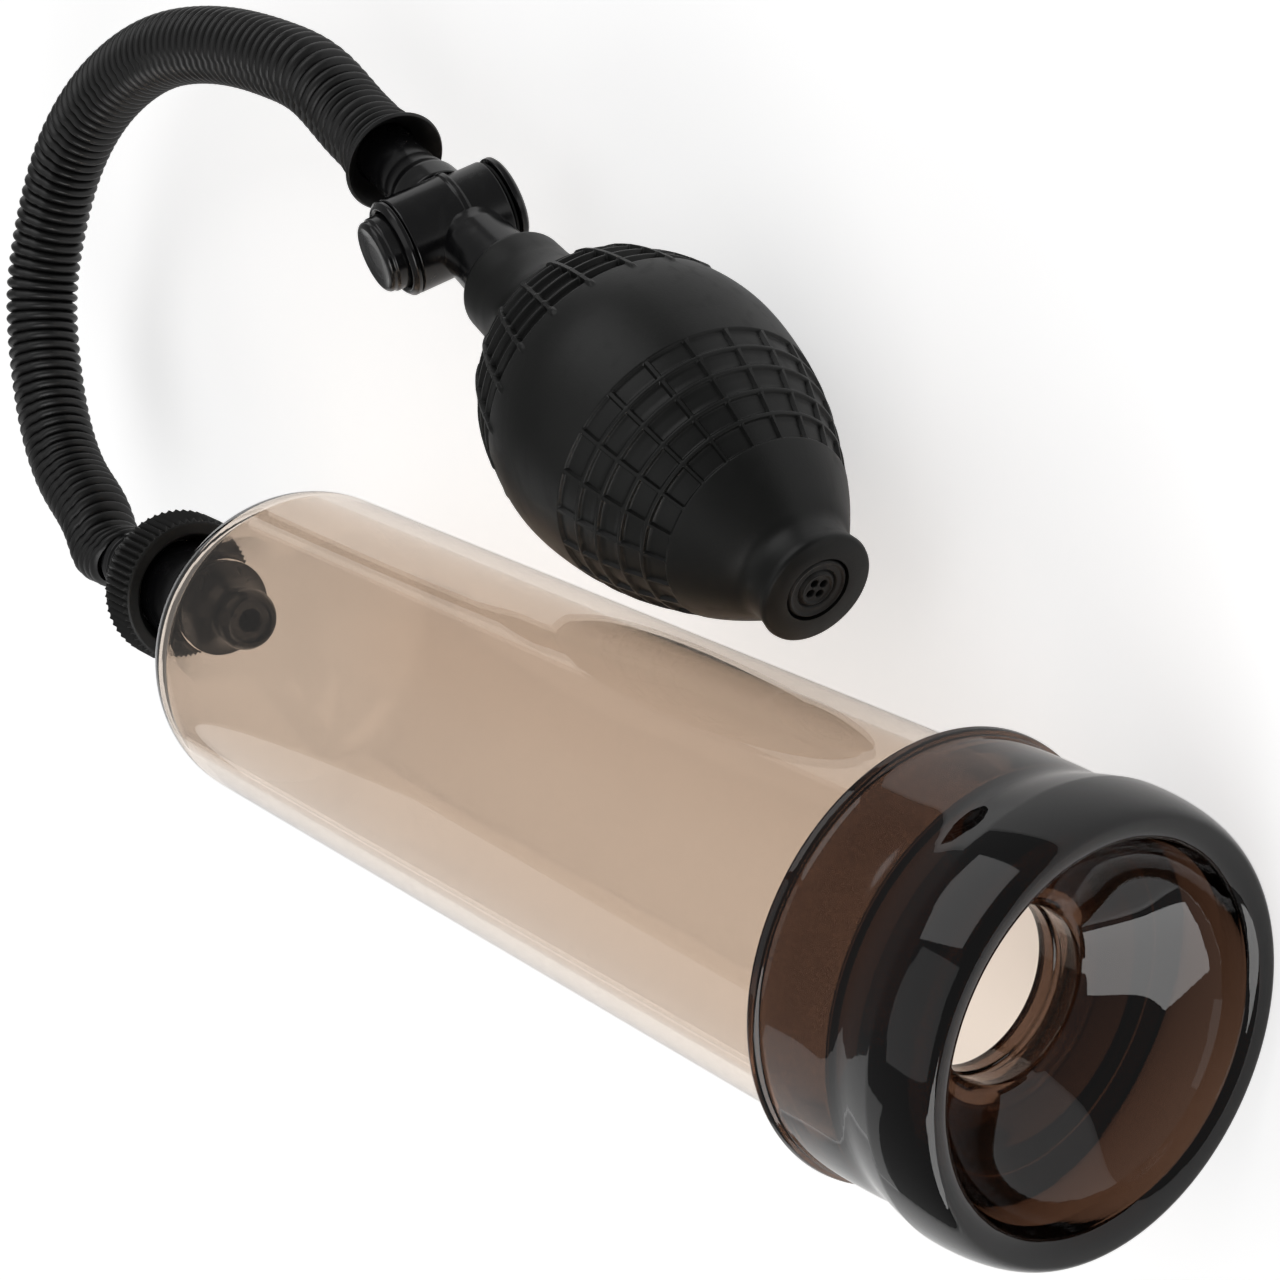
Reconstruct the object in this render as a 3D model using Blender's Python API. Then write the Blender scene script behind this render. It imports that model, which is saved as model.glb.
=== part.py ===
"""Hand vacuum pump: a tinted cylinder with a soft entry sleeve, a ribbed hose, a release valve and a squeeze bulb.

Lengths are in metres. The pump lies on a table: +Z is up, the open mouth faces -Y and the bulb lies on the +X side.
Turned pieces are outlines of (station, radius) about an axis. On the cylinder the station is zero at the sleeve's
lip and grows towards the mouth. On the bulb it is zero at the exhaust face and grows towards the valve. On the
release valve it is zero where the two stems meet and grows towards the button.
"""

import math

import bmesh
import bpy
import numpy as np
from mathutils import Matrix, Vector

CLEARANCE = 0.0003  # gap between touching pieces
FINE_SIDES = 40  # sides of the large turned pieces
SIDES = 32  # sides of the small turned pieces
ARC_STEPS = 4  # segments of a rounded corner

# Cylinder: open mouth inside the sleeve, tapered dome with a port at the other end
TUBE_RADIUS = 0.0285
TUBE_WALL = 0.0025
TUBE_BARREL = 0.178  # straight length, from the mouth edge to the shoulder
SHOULDER_RADIUS = 0.0125
DOME_ANGLE = math.radians(33)
DOME_FLAT_RADIUS = 0.0102

# Entry sleeve: skirt gripping the tube, rolled rim, funnel and throat
SLEEVE_GRIP = 0.013
LIP_RADIUS = 0.0326
LIP_WIDTH = 0.0022
SKIRT_RADIUS = 0.0315
WAIST_RADIUS = 0.0311
WAIST_STATION = 0.0145
RIM_RADIUS = 0.0326
RIM_STATION = 0.0238
CREST_RADIUS = 0.0299
CREST_STATION = 0.0336
MOUTH_RADIUS = 0.0267
MOUTH_STATION = 0.0315
FUNNEL_RADIUS = 0.0257
FUNNEL_STATION = 0.0249
FUNNEL_WALL = 0.0030
THROAT_RADIUS = 0.0124
THROAT_WALL = 0.0021
THROAT_STATION = 0.0176  # where the funnel meets the throat
THROAT_LENGTH = 0.0101
THROAT_FLARE = 0.0023  # how much wider the throat's mouth ring is

# Port through the dome: fitting inside, collar outside, a washer under each
STEM_RADIUS = 0.0050
PORT_BORE = 0.0021
WASHER_THICKNESS = 0.0010
WASHER_RADIUS = 0.0084
FITTING_FLANGE_RADIUS = 0.0093
FITTING_FLANGE = 0.0010
NOSE_WAIST = 0.0030  # from the fitting's face to its waist
NOSE_WAIST_RADIUS = 0.0064
NOSE_BEAD = 0.0058  # from the fitting's face to its bead
NOSE_RADIUS = 0.0071
NOSE_LENGTH = 0.0108
NOSE_END_RADIUS = 0.0048
NOSE_MOUTH_RADIUS = 0.0040
NOSE_MOUTH_DEPTH = 0.0010
COLLAR_RADIUS = 0.0097
COLLAR_LENGTH = 0.0115
PORT_RING_SECTION = 0.00075
PORT_RING_RADIUS = 0.0072

# Knurled coupling nut and the nipple that it holds
NUT_RADIUS = 0.0145
NUT_CUP_RADIUS = 0.0111
NUT_CUP_DEPTH = 0.0022
NUT_OVERHANG = 0.0029  # how far the nut reaches over the collar
NUT_BACK_WALL = 0.0022
KNURL_COUNT = 60
KNURL_DEPTH = 0.0006
NUT_CHAMFER = 0.0008
NIPPLE_RADIUS = 0.0057
NIPPLE_FLANGE_RADIUS = 0.0093
NIPPLE_FLANGE = 0.0015
NIPPLE_NECK = 0.0188  # from its flange to the end of the hose
BARB_LENGTH = 0.0070
BARB_BORE = 0.0024

# Ribbed hose
HOSE_RADIUS = 0.00725  # over the ribs
HOSE_ROOT_RADIUS = 0.0063  # between the ribs
HOSE_BORE_RADIUS = 0.0049
RIB_PITCH = 0.0023
CUFF_RADIUS = 0.0090
CUFF_LENGTH = 0.0077
CUFF_DISH = 0.0036
CUFF_LIP = 0.0009

# Release valve on the stem between the hose and the bulb
BULB_STEM_LENGTH = 0.0193  # from the bulb's end to the barrel's centre
HOSE_STEM_LENGTH = 0.0215  # from the barrel's centre to the cuff
BARREL_RADIUS = 0.0084
BARREL_LENGTH = 0.0104  # from the centre to the bezel
BARREL_BACK = 0.0010  # the wide barrel reaches this far past the centre
TAIL_RADIUS = 0.0077
TAIL_LENGTH = 0.0078
CHAMBER_RADIUS = 0.0052
SEAT_STATION = 0.0040
SEAT_THICKNESS = 0.0016
SEAT_HOLE_RADIUS = 0.0025
BARREL_BORE = 0.0076
BULB_STEM_RADIUS = 0.0060
BULB_STEM_END_RADIUS = 0.0054
HOSE_STEM_RADIUS = 0.0054
SPIGOT_LENGTH = 0.0098
BEZEL_RADIUS = 0.0084
BEZEL_THICKNESS = 0.0014
BEZEL_CHAMFER = 0.0006
GASKET_THICKNESS = 0.0005
GASKET_RADIUS = 0.0071
CAP_RADIUS = 0.0077
CAP_THICKNESS = 0.0016
CAP_PLUG = 0.0026

# Release button, plunger, seal and spring
BUTTON_RADIUS = 0.0065
BUTTON_TRAVEL = 0.0025
BUTTON_PROUD = 0.0034
BUTTON_FLANGE_RADIUS = 0.0073
BUTTON_FLANGE = 0.0010
BUTTON_WALL = 0.0013
BUTTON_DISH = 0.0005
PLUNGER_RADIUS = 0.0015
PLUNGER_HEAD_RADIUS = 0.0029
PLUNGER_HEAD = 0.0012
SEAL_RADIUS = 0.0042
SEAL_THICKNESS = 0.0013
SPRING_RADIUS = 0.0034
SPRING_WIRE = 0.00035
SPRING_TURNS = 4

# Squeeze bulb
BULB_WALL = 0.0026
BULB_END_RADIUS = 0.00915
BULB_END_EDGE = 0.0007
SPOUT_RADIUS = 0.0088
SPOUT_LENGTH = 0.0056
BULB_BODY = (  # outline of the bulb's body
    (0.0074, 0.0104),
    (0.0130, 0.0142),
    (0.0200, 0.0179),
    (0.0293, 0.0218),
    (0.0384, 0.0240),
    (0.0476, 0.0248),
    (0.0567, 0.0233),
    (0.0640, 0.0208),
    (0.0706, 0.0168),
    (0.0748, 0.0128),
    (0.0795, 0.0106),
    (0.0850, 0.0096),
)
BODY_STEPS = 15
BELLY_STATION = 0.0472
NECK_RADIUS = 0.0095
NECK_BEAD = 0.0022
NECK_END_RADIUS = 0.0072
BULB_LENGTH = 0.0915
NECK_BORE = 0.0049
SPOUT_BORE = 0.0053

# One-way valves: a loose disc in a cage at each end of the bulb
DISC_THICKNESS = 0.0010
DISC_TRAVEL = 0.0012
DISC_RADIUS = 0.0029
CAGE_BORE = 0.0037
CAGE_WALL = 0.0014
CAGE_HOLES = 4
CAGE_HOLE_RADIUS = 0.0006
CAGE_HOLE_CIRCLE = 0.0026
NUB_RADIUS = 0.0005
NUB_HEIGHT = 0.0004
SEAT_PORT_RADIUS = 0.0016
INSERT_RECESS = 0.0003
INSERT_FACE = 0.0015
INSERT_HOLE_CIRCLE = 0.0012
INSERT_BOSS_RADIUS = 0.0029
INSERT_GROOVE = 0.0004
EXHAUST_SEAT_THICKNESS = 0.0020

# Layout on the table
BELLY_PLACE = (0.0578, 0.0823)  # the bulb's belly, from the sleeve's lip
BULB_HEADING = math.radians(20.2)  # turn of the bulb's axis from the cylinder's
BULB_DIP = math.radians(2.1)  # the valve end lies lower by this angle
BUTTON_LEAN = math.radians(30)  # turn of the button from upright
HOSE_ROUTE = (  # middle of the hose's route, from the sleeve's lip, with heights over the table
    (0.0040, 0.2466, 0.0265),
    (0.0107, 0.2592, 0.0260),
    (0.0200, 0.2699, 0.0255),
    (0.0321, 0.2775, 0.0249),
    (0.0453, 0.2818, 0.0245),
    (0.0592, 0.2812, 0.0240),
    (0.0727, 0.2770, 0.0236),
    (0.0842, 0.2686, 0.0233),
    (0.0927, 0.2572, 0.0230),
    (0.0983, 0.2441, 0.0228),
    (0.1010, 0.2301, 0.0226),
    (0.1017, 0.2159, 0.0224),
    (0.1008, 0.2016, 0.0221),
    (0.0981, 0.1880, 0.0218),
)

# Places that follow from the sizes
CONE_START = TUBE_RADIUS - SHOULDER_RADIUS * (1 - math.cos(DOME_ANGLE))
SHOULDER_STATION = SLEEVE_GRIP - TUBE_BARREL
CONE_STATION = SHOULDER_STATION - SHOULDER_RADIUS * math.sin(DOME_ANGLE)
DOME_STATION = CONE_STATION - (CONE_START - DOME_FLAT_RADIUS) / math.tan(DOME_ANGLE)
DOME_INSIDE = DOME_STATION + TUBE_WALL
STEM_HOLE = STEM_RADIUS + CLEARANCE
INNER_WASHER_STATION = DOME_INSIDE + CLEARANCE
FITTING_STATION = INNER_WASHER_STATION + WASHER_THICKNESS + CLEARANCE
OUTER_WASHER_STATION = DOME_STATION - CLEARANCE - WASHER_THICKNESS
COLLAR_STATION = OUTER_WASHER_STATION - CLEARANCE
COLLAR_END = COLLAR_STATION - COLLAR_LENGTH
PORT_RING_STATION = COLLAR_END - CLEARANCE - PORT_RING_SECTION
NIPPLE_STATION = PORT_RING_STATION - PORT_RING_SECTION - CLEARANCE
NUT_SEAT_STATION = NIPPLE_STATION - NIPPLE_FLANGE - CLEARANCE
NUT_FRONT_STATION = COLLAR_END + NUT_OVERHANG
NUT_BACK_STATION = NUT_SEAT_STATION - NUT_BACK_WALL
HOSE_START_STATION = NIPPLE_STATION - NIPPLE_FLANGE - NIPPLE_NECK
BARB_RADIUS = HOSE_BORE_RADIUS * math.cos(math.pi / 8) - CLEARANCE
LEAN = math.atan2(LIP_RADIUS - TUBE_RADIUS, -SHOULDER_STATION)  # the cylinder rests on its lip and its shoulder
NECK_STATION = BULB_LENGTH - NECK_BEAD
STEM_SHOULDER = BULB_LENGTH + CLEARANCE
BARREL_STATION = BULB_LENGTH + BULB_STEM_LENGTH
CUFF_STATION = BARREL_STATION + HOSE_STEM_LENGTH
HOSE_END_STATION = CUFF_STATION + CUFF_LENGTH + CLEARANCE
BEZEL_STATION = BARREL_LENGTH + CLEARANCE
BUTTON_TOP = BEZEL_STATION + BEZEL_THICKNESS + BUTTON_PROUD
BUTTON_BOTTOM = SEAT_STATION + SEAT_THICKNESS + BUTTON_TRAVEL + CLEARANCE
GASKET_STATION = -TAIL_LENGTH - CLEARANCE
CAP_STATION = GASKET_STATION - GASKET_THICKNESS - CLEARANCE


def clear_scene():
    """Remove every object that the file holds."""
    for old in list(bpy.data.objects):
        bpy.data.objects.remove(old, do_unlink=True)


def material(name, colour, roughness, metallic=0.0, alpha=1.0, transmission=0.0):
    """A Principled material with the piece's colour."""
    made = bpy.data.materials.new(name)
    made.use_nodes = True
    shader = made.node_tree.nodes["Principled BSDF"]
    shader.inputs["Base Color"].default_value = (*colour, 1.0)
    shader.inputs["Roughness"].default_value = roughness
    shader.inputs["Metallic"].default_value = metallic
    shader.inputs["Transmission Weight"].default_value = transmission
    shader.inputs["Alpha"].default_value = alpha
    made.diffuse_color = (*colour, alpha)
    return made


def arc(centre, radius, start, end, steps=ARC_STEPS):
    """Points on an arc in the outline's plane; angles in degrees, 0 along the axis, 90 outwards."""
    points = []
    for turn in np.radians(np.linspace(start, end, steps + 1)):
        points.append((centre[0] + radius * math.cos(turn), centre[1] + radius * math.sin(turn)))
    return points


def smooth_curve(points, count):
    """Count points on the natural cubic spline through the given ones, by distance along the chords."""
    knots = np.array(points, dtype=float)
    chord = np.linalg.norm(np.diff(knots, axis=0), axis=1)
    where = np.concatenate([[0.0], np.cumsum(chord)])
    size = len(knots)
    system = np.eye(size)
    right = np.zeros_like(knots)
    for row in range(1, size - 1):
        before, after = chord[row - 1], chord[row]
        system[row, row - 1:row + 2] = before, 2 * (before + after), after
        right[row] = 6 * ((knots[row + 1] - knots[row]) / after - (knots[row] - knots[row - 1]) / before)
    bend = np.linalg.solve(system, right)
    spots = np.linspace(0.0, where[-1], count)
    piece = np.clip(np.searchsorted(where, spots, side="right") - 1, 0, size - 2)
    step = chord[piece][:, None]
    ahead = (where[piece + 1] - spots)[:, None]
    behind = (spots - where[piece])[:, None]
    return (
        bend[piece] * ahead**3 / (6 * step)
        + bend[piece + 1] * behind**3 / (6 * step)
        + (knots[piece] / step - bend[piece] * step / 6) * ahead
        + (knots[piece + 1] / step - bend[piece + 1] * step / 6) * behind
    )


def even_spacing(points, distances):
    """The points at the given distances along a dense path."""
    walked = np.concatenate([[0.0], np.cumsum(np.linalg.norm(np.diff(points, axis=0), axis=1))])
    return np.column_stack([np.interp(distances, walked, points[:, axis]) for axis in range(3)])


def path_length(points):
    """Length of a path of points."""
    return float(np.linalg.norm(np.diff(points, axis=0), axis=1).sum())


def finish_mesh(mesh):
    """Shade round faces smooth and keep the real edges sharp."""
    mesh.shade_smooth()
    mesh.set_sharp_from_angle(angle=math.radians(40))


def put(name, mesh, finish, axis):
    """Make the object of a mesh and hang it on its axis."""
    made = bpy.data.objects.new(name, mesh)
    bpy.context.collection.objects.link(made)
    made.parent = axis
    if finish is not None:
        mesh.materials.clear()
        mesh.materials.append(finish)
    return made


def turned_mesh(name, outline, sides):
    """Spin a closed outline of (station, radius) about the local Z axis into one closed mesh."""
    shape = bmesh.new()
    ring = [shape.verts.new((radius, 0.0, station)) for station, radius in outline]
    edges = [shape.edges.new((ring[spot - 1], ring[spot])) for spot in range(len(ring))]
    bmesh.ops.spin(
        shape,
        geom=ring + edges,
        cent=(0, 0, 0),
        axis=(0, 0, 1),
        angle=2 * math.pi,
        steps=sides,
        use_duplicate=False,
    )
    bmesh.ops.remove_doubles(shape, verts=shape.verts, dist=1e-6)
    bmesh.ops.dissolve_degenerate(shape, edges=shape.edges, dist=1e-7)
    loose = [edge for edge in shape.edges if not edge.link_faces]
    bmesh.ops.delete(shape, geom=loose, context="EDGES")
    bmesh.ops.recalc_face_normals(shape, faces=shape.faces)
    mesh = bpy.data.meshes.new(name)
    shape.to_mesh(mesh)
    shape.free()
    finish_mesh(mesh)
    return mesh


def turned(name, outline, finish, axis, sides=SIDES):
    """A turned piece on its axis."""
    return put(name, turned_mesh(name, outline, sides), finish, axis)


def rod(start, end, radius):
    """Outline of a plain round bar."""
    return [(start, 0.0), (end, 0.0), (end, radius), (start, radius)]


def pipe(start, end, inner, outer):
    """Outline of a plain tube or washer."""
    return [(start, inner), (end, inner), (end, outer), (start, outer)]


def hide_helper(piece):
    """Mark a cutter or a joined shape as no piece of its own."""
    piece.hide_render = True
    piece.display_type = "WIRE"


def cut(piece, tool):
    """Take the tool's shape out of the piece."""
    hide_helper(tool)
    change = piece.modifiers.new("cut_" + tool.name, "BOOLEAN")
    change.operation = "DIFFERENCE"
    change.solver = "EXACT"
    change.object = tool


def join(piece, tool):
    """Add the tool's shape to the piece."""
    hide_helper(tool)
    change = piece.modifiers.new("join_" + tool.name, "BOOLEAN")
    change.operation = "UNION"
    change.solver = "EXACT"
    change.object = tool


def axis_empty(name, parent, matrix):
    """An empty that stands for an axis."""
    made = bpy.data.objects.new(name, None)
    bpy.context.collection.objects.link(made)
    made.empty_display_size = 0.01
    made.parent = parent
    made.matrix_local = matrix
    return made


def frame_matrix(x_axis, y_axis, z_axis, place):
    """A matrix from its three axes and its place."""
    turn = Matrix((x_axis, y_axis, z_axis)).transposed().to_4x4()
    turn.translation = Vector(place)
    return turn


def bulb_outline():
    """Outer line of the bulb: end disc, spout, body, neck bead."""
    end_disc = [(0.0, BULB_END_RADIUS - BULB_END_EDGE), (BULB_END_EDGE, BULB_END_RADIUS)]
    spout = [(SPOUT_LENGTH * 0.45, SPOUT_RADIUS), (SPOUT_LENGTH, BULB_END_RADIUS)]
    body = [tuple(point) for point in smooth_curve(BULB_BODY, BODY_STEPS)]
    bead = [
        (NECK_STATION, NECK_RADIUS),
        (NECK_STATION + NECK_BEAD * 0.42, NECK_RADIUS - (NECK_RADIUS - NECK_END_RADIUS) * 0.28),
        (NECK_STATION + NECK_BEAD * 0.76, NECK_RADIUS - (NECK_RADIUS - NECK_END_RADIUS) * 0.64),
        (BULB_LENGTH, NECK_END_RADIUS),
    ]
    return end_disc + spout + body + bead


def bulb_inside():
    """Inner line of the bulb, from its neck bore to its spout bore."""
    body = smooth_curve(BULB_BODY, BODY_STEPS)[2:-3]
    chamber = [(station, radius - BULB_WALL) for station, radius in body]
    neck_floor = chamber[-1][0] + BULB_WALL * 0.6
    spout_floor = chamber[0][0] - BULB_WALL * 0.6
    return (
        [(BULB_LENGTH, NECK_BORE), (neck_floor, NECK_BORE)]
        + chamber[::-1]
        + [(spout_floor, SPOUT_BORE), (0.0, SPOUT_BORE)]
    )


def belly_height():
    """Height of the bulb's axis over the table at its belly, when its body touches the table."""
    body = smooth_curve(BULB_BODY, 200)
    reach = body[:, 1] * math.cos(BULB_DIP) + (body[:, 0] - BELLY_STATION) * math.sin(BULB_DIP)
    return float(reach.max())


def make_axes():
    """The part's root, the cylinder's axis, the bulb's axis and the button's axis."""
    root = axis_empty("pump", None, Matrix.Identity(4))
    lean_cos, lean_sin = math.cos(LEAN), math.sin(LEAN)
    cylinder_axis = axis_empty(
        "cylinder_axis",
        root,
        frame_matrix((1, 0, 0), (0, lean_sin, lean_cos), (0, -lean_cos, lean_sin), (0, 0, LIP_RADIUS * lean_cos)),
    )
    dip_cos, dip_sin = math.cos(BULB_DIP), math.sin(BULB_DIP)
    heading = Vector((math.sin(BULB_HEADING), math.cos(BULB_HEADING), 0))
    along = Vector((heading.x * dip_cos, heading.y * dip_cos, -dip_sin))
    upright = Vector((heading.x * dip_sin, heading.y * dip_sin, dip_cos))
    across = upright.cross(along)
    belly = Vector((*BELLY_PLACE, belly_height()))
    bulb_axis = axis_empty("bulb_axis", root, frame_matrix(across, upright, along, belly - along * BELLY_STATION))
    button = Vector((math.sin(BUTTON_LEAN), math.cos(BUTTON_LEAN), 0))
    side = button.cross(Vector((0, 0, 1)))
    button_axis = axis_empty(
        "button_axis", bulb_axis, frame_matrix(side, Vector((0, 0, 1)), button, (0, 0, BARREL_STATION))
    )
    return root, cylinder_axis, bulb_axis, button_axis


def make_cylinder(axis, clear):
    """Tinted tube: straight barrel, rounded shoulder, tapered dome and a port hole."""
    corner = (SHOULDER_STATION, TUBE_RADIUS - SHOULDER_RADIUS)
    turn = math.degrees(DOME_ANGLE)
    outer = arc(corner, SHOULDER_RADIUS, 90, 90 + turn, 5)
    inner = arc(corner, SHOULDER_RADIUS - TUBE_WALL, 90 + turn, 90, 5)
    inner_flat = DOME_FLAT_RADIUS + TUBE_WALL * math.tan(DOME_ANGLE) - TUBE_WALL / math.cos(DOME_ANGLE)
    outline = [(SLEEVE_GRIP, TUBE_RADIUS)]
    outline += outer
    outline += [(DOME_STATION, DOME_FLAT_RADIUS), (DOME_STATION, STEM_HOLE)]
    outline += [(DOME_INSIDE, STEM_HOLE), (DOME_INSIDE, inner_flat)]
    outline += inner
    outline += [(SLEEVE_GRIP, TUBE_RADIUS - TUBE_WALL)]
    return turned("cylinder_tube", outline, clear, axis, FINE_SIDES)


def make_sleeve(axis, finish):
    """Soft entry sleeve: lip, skirt, rolled rim, funnel and throat."""
    grip_radius = TUBE_RADIUS + CLEARANCE
    floor = SLEEVE_GRIP + CLEARANCE
    rise = RIM_RADIUS - CREST_RADIUS
    reach = CREST_STATION - RIM_STATION
    rim = []
    for turn in np.radians(np.linspace(0, 90, 6)):
        rim.append((RIM_STATION + reach * math.sin(turn), CREST_RADIUS + rise * math.cos(turn)))
    roll = []
    for turn in np.radians(np.linspace(30, 90, 3)):
        inward = (CREST_RADIUS - MOUTH_RADIUS) * math.sin(turn)
        roll.append((MOUTH_STATION + (CREST_STATION - MOUTH_STATION) * math.cos(turn), CREST_RADIUS - inward))
    throat_mouth = THROAT_RADIUS + THROAT_FLARE
    throat_end = THROAT_STATION - THROAT_LENGTH
    slope = math.atan2(FUNNEL_RADIUS - throat_mouth, FUNNEL_STATION - THROAT_STATION)
    back_radius = throat_mouth + FUNNEL_WALL * math.cos(slope)
    back_station = THROAT_STATION - FUNNEL_WALL * math.sin(slope)
    throat_outer = THROAT_RADIUS + THROAT_WALL
    skirt_outer = [
        (0.0, LIP_RADIUS - LIP_WIDTH * 0.3),
        (LIP_WIDTH * 0.3, LIP_RADIUS),
        (LIP_WIDTH * 0.75, LIP_RADIUS - LIP_WIDTH * 0.1),
        (LIP_WIDTH, SKIRT_RADIUS),
        (WAIST_STATION * 0.6, SKIRT_RADIUS),
        (WAIST_STATION, WAIST_RADIUS),
        ((WAIST_STATION + RIM_STATION) / 2, (WAIST_RADIUS + RIM_RADIUS) / 2),
    ]
    inside = [
        (FUNNEL_STATION + (MOUTH_STATION - FUNNEL_STATION) * 0.7, FUNNEL_RADIUS + 0.0019),
        (FUNNEL_STATION, FUNNEL_RADIUS),
        (THROAT_STATION, throat_mouth),
        (THROAT_STATION - THROAT_FLARE * 0.5, THROAT_RADIUS + THROAT_FLARE * 0.4),
        (THROAT_STATION - THROAT_FLARE, THROAT_RADIUS),
        (throat_end + THROAT_WALL * 0.3, THROAT_RADIUS),
        (throat_end, THROAT_RADIUS + THROAT_WALL * 0.5),
        (throat_end + THROAT_WALL * 0.3, throat_outer),
        (back_station - FUNNEL_WALL * 0.5, throat_outer),
        (back_station, back_radius),
        (floor, TUBE_RADIUS - TUBE_WALL * 1.6),
        (floor, grip_radius),
        (0.0, grip_radius),
    ]
    return turned("entry_sleeve", skirt_outer + rim + roll + inside, finish, axis, FINE_SIDES)


def make_port(axis, rubber, gloss):
    """The port through the dome: fitting and collar with a washer under each, and the nipple's face ring."""
    turned(
        "inner_washer",
        pipe(INNER_WASHER_STATION, INNER_WASHER_STATION + WASHER_THICKNESS, STEM_HOLE, WASHER_RADIUS),
        rubber,
        axis,
    )
    nose_end = FITTING_STATION + NOSE_LENGTH
    mouth_floor = nose_end - NOSE_MOUTH_DEPTH
    bead_end = FITTING_STATION + (NOSE_BEAD + NOSE_LENGTH) * 0.5
    stem_end = COLLAR_END + WASHER_THICKNESS
    fitting = [
        (stem_end, PORT_BORE),
        (mouth_floor, PORT_BORE),
        (mouth_floor, NOSE_MOUTH_RADIUS),
        (nose_end, NOSE_MOUTH_RADIUS),
        (nose_end, NOSE_END_RADIUS),
        (bead_end, NOSE_RADIUS * 0.7 + NOSE_END_RADIUS * 0.3),
        (FITTING_STATION + NOSE_BEAD, NOSE_RADIUS),
        (FITTING_STATION + (NOSE_WAIST + NOSE_BEAD) * 0.5, NOSE_RADIUS * 0.7 + NOSE_WAIST_RADIUS * 0.3),
        (FITTING_STATION + NOSE_WAIST, NOSE_WAIST_RADIUS),
        (FITTING_STATION + FITTING_FLANGE * 1.4, NOSE_WAIST_RADIUS * 0.6 + FITTING_FLANGE_RADIUS * 0.4),
        (FITTING_STATION + FITTING_FLANGE * 0.6, FITTING_FLANGE_RADIUS),
        (FITTING_STATION, FITTING_FLANGE_RADIUS - WASHER_THICKNESS * 0.2),
        (FITTING_STATION, STEM_RADIUS),
        (stem_end, STEM_RADIUS),
    ]
    turned("port_fitting", fitting, gloss, axis)
    turned(
        "outer_washer",
        pipe(OUTER_WASHER_STATION, OUTER_WASHER_STATION + WASHER_THICKNESS, STEM_HOLE, WASHER_RADIUS),
        rubber,
        axis,
    )
    turned("dome_collar", pipe(COLLAR_END, COLLAR_STATION, STEM_HOLE, COLLAR_RADIUS), gloss, axis)
    ring = arc((PORT_RING_STATION, PORT_RING_RADIUS), PORT_RING_SECTION, 0, 315, 7)
    turned("port_ring", ring, rubber, axis)


def make_nut(axis, finish):
    """Knurled nut: a ridged disc with a cup in front, a thread bore and a back wall."""
    shape = bmesh.new()
    rims = []
    levels = (
        (NUT_BACK_STATION, NUT_RADIUS - NUT_CHAMFER, False),
        (NUT_BACK_STATION + NUT_CHAMFER, NUT_RADIUS, True),
        (NUT_FRONT_STATION - NUT_CHAMFER, NUT_RADIUS, True),
        (NUT_FRONT_STATION, NUT_RADIUS - NUT_CHAMFER, False),
    )
    for station, radius, ridged in levels:
        ring = []
        for spot in range(2 * KNURL_COUNT):
            depth = KNURL_DEPTH if ridged and spot % 2 else 0.0
            turn = math.pi * spot / KNURL_COUNT
            ring.append(shape.verts.new(((radius - depth) * math.cos(turn), (radius - depth) * math.sin(turn), station)))
        rims.append(ring)
    for low, high in zip(rims, rims[1:]):
        for spot in range(2 * KNURL_COUNT):
            after = (spot + 1) % (2 * KNURL_COUNT)
            shape.faces.new((low[spot], low[after], high[after], high[spot]))
    shape.faces.new(rims[0][::-1])
    shape.faces.new(rims[-1])
    bmesh.ops.recalc_face_normals(shape, faces=shape.faces)
    mesh = bpy.data.meshes.new("coupling_nut")
    shape.to_mesh(mesh)
    shape.free()
    finish_mesh(mesh)
    nut = put("coupling_nut", mesh, finish, axis)
    margin = NUT_BACK_WALL
    thread_bore = COLLAR_RADIUS + CLEARANCE
    hollow = [
        (NUT_BACK_STATION - margin, 0.0),
        (NUT_BACK_STATION - margin, NIPPLE_RADIUS + CLEARANCE),
        (NUT_SEAT_STATION, NIPPLE_RADIUS + CLEARANCE),
        (NUT_SEAT_STATION, thread_bore),
        (NUT_FRONT_STATION - NUT_CUP_DEPTH, thread_bore),
        (NUT_FRONT_STATION - NUT_CUP_DEPTH * 0.5, NUT_CUP_RADIUS - NUT_CHAMFER * 0.4),
        (NUT_FRONT_STATION, NUT_CUP_RADIUS),
        (NUT_FRONT_STATION + margin, NUT_CUP_RADIUS + margin),
        (NUT_FRONT_STATION + margin, 0.0),
    ]
    cut(nut, turned("nut_hollow", hollow, None, axis))
    return nut


def make_nipple(axis, finish):
    """Flanged nipple: the nut clamps its flange, and its barb sits in the hose."""
    flange_end = NIPPLE_STATION - NIPPLE_FLANGE
    shoulder = HOSE_START_STATION + CLEARANCE
    barb_end = HOSE_START_STATION - BARB_LENGTH
    outline = [
        (NIPPLE_STATION, BARB_BORE),
        (NIPPLE_STATION, NIPPLE_FLANGE_RADIUS),
        (flange_end, NIPPLE_FLANGE_RADIUS),
        (flange_end, NIPPLE_RADIUS),
        (shoulder, NIPPLE_RADIUS),
        (shoulder, BARB_RADIUS),
        (barb_end + BARB_LENGTH * 0.25, BARB_RADIUS),
        (barb_end, BARB_RADIUS - CLEARANCE * 2),
        (barb_end, BARB_BORE),
    ]
    return turned("hose_nipple", outline, finish, axis)


def make_bulb(axis, finish):
    """Hollow rubber squeeze bulb, open at its neck and its spout."""
    return turned("squeeze_bulb", bulb_outline() + bulb_inside(), finish, axis, FINE_SIDES)


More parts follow.
